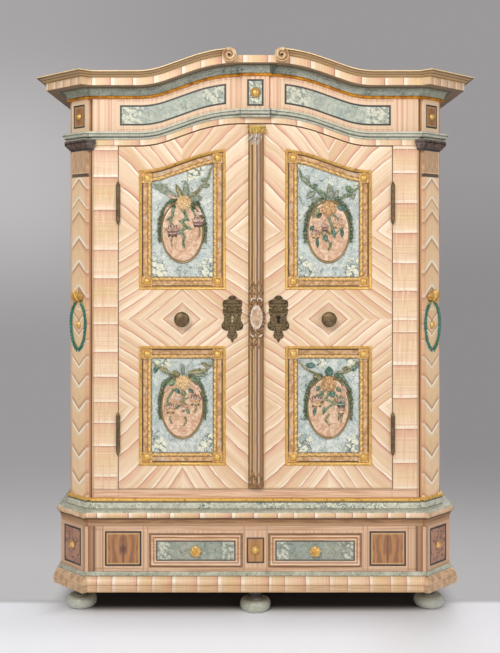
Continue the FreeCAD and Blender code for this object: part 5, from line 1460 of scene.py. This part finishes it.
LEFT_LOWER = (
    (2, 87),
    ((((20, 122), (55, 123), (87, 136), (110, 160)), 5.2, OLIVE),
     (((-18, 115), (-50, 122), (-82, 139), (-104, 160)), 5, OLIVE),
     (((-30, 66), (-42, 44), (-52, 26), (-44, 8)), 5, GREEN),
     (((-2, 56), (6, 34), (-8, 14), (8, 2), (4, -16)), 5.6, OLIVE),
     (((22, 40), (4, 22), (18, 10)), 4.4, OLIVE),
     (((8, -32), (14, -46), (4, -66)), 4.2, OLIVE),
     (((-42, -30), (-42, -44), (-36, -58)), 4.2, OLIVE),
     (((46, 10), (48, -2), (44, -20)), 3.6, OLIVE)),
    ((2, 112, 0, 156, 15, 0.1, GREY), (-6, 114, -34, 130, 15, -0.4, OLIVE),
     (24, 126, 90, 130, 20, 0.3, OLIVE), (34, 118, 92, 116, 14, 0.4, GREY),
     (24, 102, 66, 96, 28, -0.2, GREEN), (-20, 92, -58, 80, 24, 0.3, GREEN),
     (-50, 128, -88, 142, 18, 0.3, OLIVE), (-92, 146, -96, 120, 16, 0.2, TEAL),
     (92, 142, 66, 158, 14, 0.4, OLIVE), (-60, 96, -76, 70, 12, 0.3, GREEN),
     (-24, 68, -8, 48, 17, 0.2, TEAL), (22, 66, 40, 50, 15, 0.2, TEAL), (4, 62, 10, 38, 14, 0.1, GREEN),
     (-28, 42, -6, 26, 14, 0.3, PETAL), (8, 44, 26, 36, 15, 0.4, PETAL), (-26, 20, 0, 10, 11, 0.3, ROSY),
     (-44, 80, -66, 52, 13, 0.4, ROSY), (44, 80, 68, 54, 13, -0.4, ROSY), (16, -2, 26, -24, 11, 0.3, GREEN),
     (-8, 8, -24, -6, 10, 0.3, GREEN)),
    ((-42, -2, 34, 32, OLIVE, AMBER), (8, 2, 24, 22, AMBER, ROSY), (46, 28, 40, 34, MAUVE, AMBER)),
)
RIGHT_LOWER = (
    (0, 83),
    ((((-27, 113), (-56, 124), (-84, 140), (-104, 162)), 5, OLIVE),
     (((31, 124), (60, 124), (85, 140), (104, 163)), 5, OLIVE),
     (((-12, 30), (14, 16), (-4, -2), (-16, -20)), 4.6, GREEN),
     (((14, 14), (30, 12), (40, 16)), 4.4, OLIVE),
     (((-14, 60), (-30, 50), (-40, 34)), 4.6, GREEN),
     (((12, 56), (26, 44), (42, 32)), 4.6, GREEN),
     (((2, 56), (-4, 40), (-12, 30)), 5, GREEN),
     (((-42, 2), (-50, -14), (-50, -30)), 3, OLIVE),
     (((2, -22), (-10, -44), (4, -62)), 4.2, OLIVE),
     (((46, -22), (46, -36), (44, -52)), 3.8, OLIVE)),
    ((2, 108, 2, 146, 30, 0, TEAL), (-24, 102, -56, 112, 21, 0.3, OLIVE),
     (-44, 144, -82, 150, 20, 0.3, TEAL), (96, 150, 86, 126, 20, 0.3, TEAL),
     (48, 136, 76, 142, 14, 0.3, OLIVE), (26, 112, 62, 98, 22, -0.3, GREEN),
     (20, 118, 44, 112, 14, 0.3, TEAL), (-30, 76, -42, 56, 17, 0.3, GREEN), (28, 72, 46, 54, 16, 0.3, GREEN),
     (12, 60, 16, 34, 24, 0.2, TEAL), (-18, 58, -26, 32, 15, 0.3, GREEN), (-46, 0, -52, -28, 14, 0.1, TEAL),
     (-14, 4, -20, -26, 10, 0.3, GREEN), (44, -10, 34, -48, 9, 0.3, OLIVE),
     (-44, 78, -66, 52, 13, 0.4, ROSY), (44, 78, 66, 54, 13, -0.4, ROSY), (24, 34, 20, 8, 12, 0.3, OLIVE),
     (-30, 16, -14, 22, 10, 0.3, OLIVE)),
    ((-42, 24, 42, 38, MAUVE, AMBER), (44, 22, 38, 32, GREEN, TEAL), (44, -8, 28, 24, MAUVE, AMBER)),
)
PANEL_WORK = {("left", True): LEFT_UPPER, ("right", True): RIGHT_UPPER,
              ("left", False): LEFT_LOWER, ("right", False): RIGHT_LOWER}


def resting(u, v, ground):
    """Height of the oval's domed face, or of the blue field beyond it."""
    reach = (u / 70) ** 2 + (v / 104) ** 2
    return ground + (8.6 - 3.6 * reach if reach < 1 else 3)


def make_garlands(side):
    """Laurel round each medallion, the rosette at its head, ribbons and hanging sprays."""
    carving = Carving(Place((0, FRONT, 0)))
    middle = HANDS[side] * PANEL_MIDDLE
    ground = -RECESS
    for level, last in zip(OVAL_LEVELS, (-14, -12)):
        head, stems, leaves, blooms = PANEL_WORK[side, level > BETWEEN_PANELS]
        for hand in (-1, 1):
            laurel_branch(carving, middle, level, hand, ground, last)
        for points, thick, mark in stems:
            base = [resting(u, v, ground) + 1.4 for u, v in points]
            line = curve([(middle + u, level + v, w) for (u, v), w in zip(points, base)])
            radii = [thick * (1 - 0.35 * k / len(line)) for k in range(len(line))]
            carving.tube(line, radii, 8, mark, 0.9)
        for u0, v0, u1, v1, wide, bend, mark in leaves:
            rest = (resting(u0, v0, ground) + resting(u1, v1, ground)) / 2
            carving.leaf(middle + u0, level + v0, atan2(v1 - v0, u1 - u0) - bend * 0.5,
                         hypot(u1 - u0, v1 - v0), wide, 5.4, rest, 1.5, bend, mark)
        for u, v, wide, tall, petal, cup in blooms:
            bloom(carving, middle + u, level + v, wide, tall, resting(u, v, ground), petal, cup)
        rosette(carving, middle + head[0], level + head[1], 28.5, 18, ground + 6.5,
                SOFT_GOLD if side == "left" else AMBER)
    carving.fit(side + "_door", "carved_garlands", CARVED_FINISHES, "gilding", "garlands")


KNOB_PROFILE = ((0, 0), (17, 0), (17.5, 2), (14, 4), (9.5, 6.5), (9, 14), (12, 18), (21, 21.5),
                (26.2, 25.5), (27, 29), (25.6, 32), (21, 35), (13, 37.2), (5, 38), (0, 38))


def make_knob(side):
    """The turned iron knob of one door."""
    carving = Carving(door_place(side, -PANEL_MIDDLE, KNOB_LEVEL))
    carving.turned(0, 0, KNOB_PROFILE, 40)
    carving.fit(side + "_door", "iron_knob", ["iron"], "iron", "knob")


PLATE_EDGE = ((0, 83), (8, 81.5), (14, 76), (16, 70), (22, 68), (31, 65.5), (35, 58),
              (34, 47), (31, 40), (34.5, 32), (33, 20), (28.5, 8), (30, -6), (36, -14),
              (38.5, -22), (37, -32), (30, -39), (21, -41), (12, -42), (9.5, -47),
              (15, -52), (18.5, -58), (16, -66), (9, -70.5), (5, -72), (4.5, -78), (0, -83))


def make_escutcheon(side):
    """A shaped iron plate with a bevelled edge, nails and a keyhole, which on the locking door is painted
    near-black as painted shade in place of a hole.
    """
    carving = Carving(door_place(side, -PLATE_X, KNOB_LEVEL))
    edge = list(PLATE_EDGE) + [(-u, v) for u, v in reversed(PLATE_EDGE[1:-1])]
    rows = [[(u - shrink * u / hypot(u, v), v - shrink * v / hypot(u, v), height) for u, v in edge]
            for shrink, height in ((0, 0), (0, 2), (1.6, 3.4), (3.4, 3.2), (4.2, 2.6), (5, 2.6))]
    rows += [[(u * share, v * share, 3.24 - 0.8 * share) for u, v in edge] for share in (0.8, 0.6, 0.4, 0.22)]
    rows.append([(u * 0.1, v * 0.03, 3) for u, v in edge])
    carving.grid([row[::-1] for row in rows], True)
    locked = side == "right"
    size = 1 if locked else 0.72
    profile = [(r * size, w) for r, w in ((9.4, 2.8), (8.8, 4.4), (7.6, 4.6), (7, 3.4), (0, 3.2))]
    # on the locking door the keyhole is painted near-black, painted shade in place of a hole; on the other it
    # is brass
    carving.turned(0, 5, profile, 18, 1, lambda r, c: 1 if r > 2 else 0)
    slit = [corners(0, (low * size + high) / 2, wide * size, (high - low * size) / 2, height)
            for wide, low, high, height in ((4.4, -16, 2, 3.3), (3.8, -15.4, 2, 3.7), (0.4, -8, -7, 3.7))]
    carving.grid(slit, True, 1)
    for u, v in ((-27, 56), (27, 56), (-30, -28), (30, -28), (0, 75), (0, -63)):
        carving.turned(u, v, [(3.2, 2.4), (2.9, 3.8), (1.6, 4.8), (0, 5)], 12)
    finishes = ["engraved_iron", "keyhole" if locked else "brass"]
    carving.fit(side + "_door", "chased_plate", finishes, "iron", "escutcheon", sharp=0.5)


DRAWER_SECTION = ((0, -22), (0, -1), (1, 0), (3, 0), (4.5, 2.5), (8, 4), (11, 3), (12.5, 0.5), (14.5, 0),
                  (16, 2.4), (19, 4.8), (22.5, 5), (24, 4.2), (26, 4), (57, 4))


def make_drawer_front(side):
    """A moulded drawer front round a marbled field, and its flower-shaped pull."""
    wide = DRAWER_WIDE / 2
    tall = DRAWER_TALL / 2
    place = Place((HANDS[side] * DRAWER_X, FRONT - PLINTH_OUT, DRAWER_LEVEL))
    carving = Carving(place)
    rows = [corners(0, 0, wide - inset, tall - inset, height) for inset, height in DRAWER_SECTION]
    rows.append(corners(0, 0, wide - DRAWER_SECTION[-1][0], 0, 4))
    carving.grid(rows, True)
    back = corners(0, 0, wide, tall, -22)
    carving.grid([[back[0], back[3]], [back[1], back[2]]], False)
    carving.fit(side + "_drawer", "moulded_front", ["drawer_front"], "painted_veneer", "front", sharp=0.5)
    pull = Carving(place)
    pull.turned(0, 0, [(7, 4), (6, 10), (9, 14)], 16)
    pull.turned(0, 0, [(9, 14), (16, 15), (18, 17.5), (14, 19.5), (7, 20), (0, 20)], 48, lobes=8, lobe=0.06)
    for a in around(4):
        a += pi / 4
        pull.leaf(2 * cos(a), 2 * sin(a), a, 16.5, 16, 5, 18, 0.5, tip=1.6)
    pull.turned(0, 0, [(5, 19), (4.6, 23), (2.5, 25), (0, 25.5)], 14)
    pull.fit(side + "_drawer", "flower_pull", ["gilding"], "gilding", "pull")


def chamfer_place(hand, out, level):
    """On a chamfered corner: u along it, w out of it."""
    normal = Vector((hand * DIAGONAL, -DIAGONAL, 0))
    origin = Vector((hand * CHAMFER_X, CHAMFER_Y, level)) + normal * out
    return Place(origin, right=(DIAGONAL, hand * DIAGONAL, 0), out=normal)


STRAND = ((4, 90, 2), (20, 74, 2), (37, 44, 2), (43, 8, 2), (38, -36, 2), (25, -68, 2), (9, -86, 2))
BOW_LOOP = ((0, 90, 6), (14, 103, 12), (28, 106, 9), (24, 92, 8), (0, 90, 7))
BOW_TAIL = ((0, 90, 6), (13, 80, 9), (23, 79, 6), (28, 70, 4))
SPRAY = ((28, 34), (152, 34), (58, 30), (122, 30), (-14, 36), (194, 36), (90, 38), (4, 30), (176, 30))


def make_wreaths():
    """An open pointed wreath of two thin laurel strands, with a gilt bow, on each corner pilaster."""
    def mirrored(points, side, steps=6):
        return curve([(side * u, v, w) for u, v, w in points], steps)

    for name, hand in HANDS.items():
        carving = Carving(chamfer_place(hand, 12, WREATH_LEVEL))
        for side in (-1, 1):
            strand = mirrored(STRAND, side, 7)
            carving.tube(strand, 4.4)
            for k in range(1, len(strand) - 1, 2):
                (u0, v0, _), (u, v, w), (u1, v1, _) = strand[k - 1:k + 2]
                heading = atan2(v1 - v0, u1 - u0)
                for spread in (-0.5, 0.5):
                    carving.leaf(u, v, heading + spread * rng.uniform(0.6, 1), 14, 6.5, 3.4, 2.5, 2, 0,
                                 rng.choice((0, 2)))
        for heading, long in SPRAY:
            bend = 0.4 if heading < 90 else -0.4
            carving.leaf(0, 94, radians(heading), long, 9.5, 7, 5, 6, bend, 1)
            carving.leaf(0, 94, radians(heading + 13), long * 0.8, 6, 3, 2, 2, bend, 3)
        for side in (-1, 1):
            carving.tube(mirrored(BOW_LOOP, side), 3.8, 8, 1, 0.8)
            tail = mirrored(BOW_TAIL, side)
            carving.tube(tail, [3 - 1.6 * k / len(tail) for k in range(len(tail))], 8, 1, 0.7)
        dome(carving, 0, 92, 6.5, 9, 5, 1)
        carving.make(name + "_laurel_wreath", "cabinet", ["teal", "gilding", "dark_teal", "carved_brown"],
                     "gilding", ["pilaster_wreaths"] if hand < 0 else [])


def make_bosses():
    """Gilt bosses on the corners, on the frieze and between the drawers."""
    spots = [("frieze_boss", Place((0, FRONT - 14, FRIEZE_MIDDLE - 0.5 + RISE)), 17, 12),
             ("plinth_boss", Place((0, FRONT - PLINTH_OUT, DRAWER_LEVEL)), 14, 11)]
    for name, out, level, radius in (("frieze", 12, FRIEZE_MIDDLE - 0.5, 12),
                                     ("pilaster", 12, WREATH_LEVEL, 10), ("plinth", 40, PLINTH_MIDDLE, 13)):
        for side, hand in HANDS.items():
            spots.append(("%s_%s_boss" % (side, name), chamfer_place(hand, out, level), radius, 10))
    for name, place, radius, height in spots:
        carving = Carving(place)
        stretch = 1.35 if "pilaster" in name else 1
        carving.turned(0, 0, [(radius * r, height * h) for r, h in DOME], 24, stretch)
        carving.turned(0, 0, [(radius * 1.12, 0), (radius * 1.12, 0.8), (radius, 1)], 24, stretch, 1)
        carving.make(name, "cabinet", ["gilding", "carved_brown"], "gilding",
                     ["gilt_bosses"] if name == "frieze_boss" else [])


CUP_SEAM = 25
CUP = ((0, 17, 15), (5, 18, 16), (8, 22, 18), (11, 22.5, 18), (17, 26.5, 20),
       (22, 30, 22), (24, 33, 23), (28, 34, 23), (28, 30, 0))


def capital(carving, top, low_u, high_u):
    """The flared cup at the head of the meeting strip, between two places across it."""
    rows = []
    for rise, wide, deep in CUP:
        row = []
        for a in even(0, pi, 20):
            u = min(max(-wide * cos(a), low_u), high_u)
            share = min(1, abs(u) / wide)
            ridge = 1 + 0.07 * cos(a * 12)
            row.append((u, top - 29 + rise, deep * ridge * sqrt(1 - share * share)))
        rows.append(row)
    carving.grid(rows, False, 3)
    for k in range(-3, 4):
        u = k * 10
        if low_u <= u - 4 and u + 4 <= high_u:
            carving.leaf(u * 0.7, top - 28, pi / 2 - k * 0.22, 24, 9, 4, 17 - abs(k) * 2, 5, -k * 0.1, 3)


CARTOUCHE_SECTION = ((1, 12), (1, 22), (0.95, 25), (0.86, 25.5), (0.8, 22.5), (0.74, 22), (0.5, 24),
                     (0.2, 25), (0, 25.2))


def make_astragal_piece():
    """Meeting strip: fluted half column with leaves, gilt capital and a carved cartouche."""
    place = Place((3.5, FRONT, 0))
    carving = Carving(place)
    low, high = 450, OPENING_TOP - 10 + RISE
    outline = [(-25, 0)]
    for t in even(0, 1, 26):
        flute = 2.4 * max(0, sin(pi * t * 5 - 0.2)) if 0.08 < t < 0.92 else 0
        outline.append((-25 + 50 * t, 6 + 12.5 * sin(pi * t) ** 0.75 - flute))
    outline.append((25, 0))
    carving.grid([[(u, z, w) for u, w in outline] for z in even(low, high - 24, 24)], False)
    for z0, z1 in ((low, low + 16), (KNOB_LEVEL - 66, KNOB_LEVEL - 56), (KNOB_LEVEL + 86, KNOB_LEVEL + 96)):
        rows = []
        for share, grow in ((0, 0), (0, 2.2), (0.5, 3.4), (1, 2.2), (1, 0)):
            rows.append([(u * (1 + grow * 0.02), z0 + (z1 - z0) * share,
                          6 + grow + 13 * sin(pi * k / 12) ** 0.75 if 0 < k < 12 else 0)
                         for k, u in enumerate(even(-25, 25, 12))])
        carving.grid(rows, False, 1)
    for start, way, mark in ((high - 26, -1, 5), (KNOB_LEVEL + 98, 1, 1), (KNOB_LEVEL - 68, -1, 1),
                             (low + 18, 1, 1)):
        for row, places in enumerate(((-15, 0, 15), (-7.5, 7.5))):
            for u in places:
                carving.leaf(u * 0.8, start + way * row * 16, way * pi / 2 + u * 0.02 * -way, 30, 13, 4.5,
                             17 - abs(u) * 0.35, 0.5, way * 0.5, mark)
    oval_z = KNOB_LEVEL + 7
    for a in around(18):
        heading = atan2(50 * cos(a), -19 * sin(a))
        carving.leaf(19 * cos(a), oval_z + 50 * sin(a), heading - 0.7, 22, 11, 5, 17, 2, 0.5, 1)
    rows = [oval(0, oval_z, 22 * share, 43 * share, height, 32) for share, height in CARTOUCHE_SECTION]
    carving.grid(rows, True, lambda r, c: 2 if r < 5 else 4)
    for hand in (-1, 1):
        for v0, bend in ((58, 1), (-58, -1)):
            scroll = []
            for k, a in enumerate(even(0, 4.4, 13)):
                r = 11 * (1 - k / 18)
                scroll.append((hand * (9 + r * cos(a) * 0.9), oval_z + v0 + bend * r * sin(a), 18))
            carving.tube(scroll, [3.4 - 0.1 * k for k in range(14)], 8, 2)
    capital(carving, high, -CUP_SEAM, 50)
    finishes = ["astragal", "carved_brown", "oval_cream", "cup_gilding", "oval_tan", "leaf_collar"]
    carving.make("door_fluted_astragal", "right_door", finishes, "painted_veneer", ["door_astragal"],
                 sharp=0.9)
    tip = Carving(place)
    capital(tip, high, -50, -CUP_SEAM - 2)
    tip.make("left_door_capital_tip", "left_door", finishes[:4], "gilding")


def make_volutes():
    """Spiral ridges with a small eye on the crown's two scrolls."""
    for name, hand in HANDS.items():
        carving = Carving(Place((hand * VOLUTE_X, FRONT - 113, CORNICE_TOP + arch(VOLUTE_X) - 22.5)))
        carving.turned(0, 0, [(22, 0), (22, 0.6), (4.6, 0.8), (4, 0.7), (0, 0.7)], 32, 1,
                       lambda r, c: 1 if r < 2 else 2)
        line = []
        for t in even(0, 1, 40):
            a = pi * 0.5 + hand * (t * 2.5 * pi - 0.5)
            r = 16 * (1 - t) ** 0.8 + 3.4
            line.append((r * cos(a), r * sin(a), 1))
        carving.tube(line, even(5.4, 2, 40))
        edge = [(-hand * 22.3 * cos(a), 22.3 * sin(a), 0.8) for a in even(pi * 0.62, -pi * 0.63, 30)]
        carving.tube(edge, 1.5, 6)
        carving.make(name + "_volute", "cabinet", ["crown_light", "scroll_shade", "keyhole"],
                     "painted_veneer")


for door in HANDS:
    for make in (make_panel_mouldings, make_medallions, make_garlands, make_knob, make_escutcheon,
                 make_drawer_front):
        make(door)
make_wreaths()
make_bosses()
make_astragal_piece()
make_volutes()

# ---------------------------------------------------------------- camera, light and floor

camera_data = bpy.data.cameras.new("camera")
camera_data.lens = 72
camera_data.sensor_width = 36
camera_data.sensor_fit = "HORIZONTAL"
camera_data.shift_y = -0.153
camera = bpy.data.objects.new("camera", camera_data)
camera.location = Vector(CAMERA) * M
camera.rotation_euler = (radians(90), 0, 0)
bpy.context.scene.collection.objects.link(camera)
bpy.context.scene.camera = camera


def lamp(name, place, target, width, watts, tint=(1, 1, 1)):
    """A rectangular area light, turned to a target."""
    data = bpy.data.lights.new(name, "AREA")
    data.shape = "RECTANGLE"
    data.size, data.size_y = width
    data.energy = watts
    data.color = tint
    light = bpy.data.objects.new(name, data)
    light.location = place
    light.rotation_euler = (Vector(target) - Vector(place)).to_track_quat("-Z", "Y").to_euler()
    bpy.context.scene.collection.objects.link(light)


lamp("key", (-1.5, -4.4, 3.5), (0, 0, 1.1), (2, 1.6), 128, (1, 0.955, 0.88))
lamp("fill", (2.6, -4, 2.4), (0, 0, 1), (2.4, 2), 56, (1, 0.965, 0.92))
lamp("back", (1.5, 3.6, 3.4), (0, 0.3, 1.2), (3, 2), 70)

WALL = (0.335, 0.32, 0.325)
WALL_BRIGHT = (0.52, 0.5, 0.505)
FLOOR_PALE = (0.86, 0.88, 0.95)
# the painted shadow under the cupboard
FLOOR_SHADOW = (0.05, 0.045, 0.045)


def make_world():
    """Soft light, mostly from above; the camera sees a plain grey wall, with painted light making it brighter
    on the left and near the bottom, and painted shade making it darker on the right.
    """
    world = bpy.data.worlds.new("studio")
    bpy.context.scene.world = world
    world.use_nodes = True
    tree = world.node_tree
    tree.nodes.clear()
    out, both, light, seen, path, place, parts = [tree.nodes.new("ShaderNode" + kind) for kind in (
        "OutputWorld", "MixShader", "Background", "Background", "LightPath", "TexCoord", "SeparateXYZ")]
    put(parts.inputs[0], place.outputs["Generated"])
    along, _, up = [Num(way) for way in parts.outputs]
    put(light.inputs["Color"], blend(tree, (0.16, 0.16, 0.165), (1, 0.985, 0.96), up.ramp(-0.2, 0.5)))
    light.inputs["Strength"].default_value = 0.42
    left = along.ramp(0, -0.24)
    level = up.ramp(-0.1, 0.06) + up.ramp(-0.16, -0.3) * 0.35 - up.ramp(0.08, 0.22) * 0.7
    # painted light and shade on the wall: brighter on the left and near the bottom, darker on the right
    wall = blend(tree, WALL, WALL_BRIGHT, (left * level + up.ramp(-0.2, -0.32) * 0.8).least(1))
    dim = along.ramp(0.1, 0.17) * up.ramp(0.1, -0.05) * (0.7 - up.ramp(-0.18, -0.27) * 0.7)
    put(seen.inputs["Color"], blend(tree, wall, (0.25, 0.24, 0.245), dim))
    for slot, value in enumerate((path.outputs["Is Camera Ray"], light.outputs[0], seen.outputs[0])):
        put(both.inputs[slot], value)
    put(out.inputs[0], both.outputs[0])


make_world()


def make_floor():
    """A pale floor that gives way to the grey wall behind the object's front, with a painted shadow under the
    cupboard and a painted glow in front of it and beside it that only the camera sees.
    """
    mesh = bpy.data.meshes.new("floor")
    reach = 9
    mesh.from_pydata([(-reach, -reach, 0), (reach, -reach, 0), (reach, reach, 0), (-reach, reach, 0)], [],
                     [(0, 1, 2, 3)])
    floor = bpy.data.objects.new("floor", mesh)
    bpy.context.scene.collection.objects.link(floor)
    p = Paint("floor_paint", Roughness=0.7)
    p.colour = p.mix(FLOOR_PALE, WALL, p.y.ramp(-80, 0))
    # painted shadow: the floor under the cupboard is painted near-black
    p.lay(FLOOR_SHADOW, abs(p.x).ramp(720, 560) * p.y.ramp(-165, -85))
    p.finish()
    p.shader.inputs["Emission Color"].default_value = (0.8, 0.88, 1, 1)
    both = p.node("ShaderNodeMixShader")
    seen = Num(p.node("ShaderNodeLightPath").outputs["Is Camera Ray"])
    # painted light: the floor glows for the camera in front of the cupboard and beside it, less towards the
    # right
    open_floor = 1 - abs(p.x).ramp(760, 640) * p.y.ramp(420, 340)
    beside = abs(p.x).ramp(690, 800) * p.y.ramp(-40, -90)
    glow = beside.most(p.y.ramp(-120, -215)) * 0.17 + p.y.ramp(-240, -420) * 0.07
    put(p.shader.inputs["Emission Strength"], glow * seen * (1 - p.x.ramp(250, 700) * 0.75))
    put(both.inputs[0], p.y.ramp(-75, -20) * seen * open_floor)
    put(both.inputs[1], p.shader.outputs[0])
    put(both.inputs[2], p.node("ShaderNodeBsdfTransparent").outputs[0])
    put(p.out.inputs[0], both.outputs[0])
    mesh.materials.append(p.material)


make_floor()

bpy.context.scene.view_settings.view_transform = "Standard"
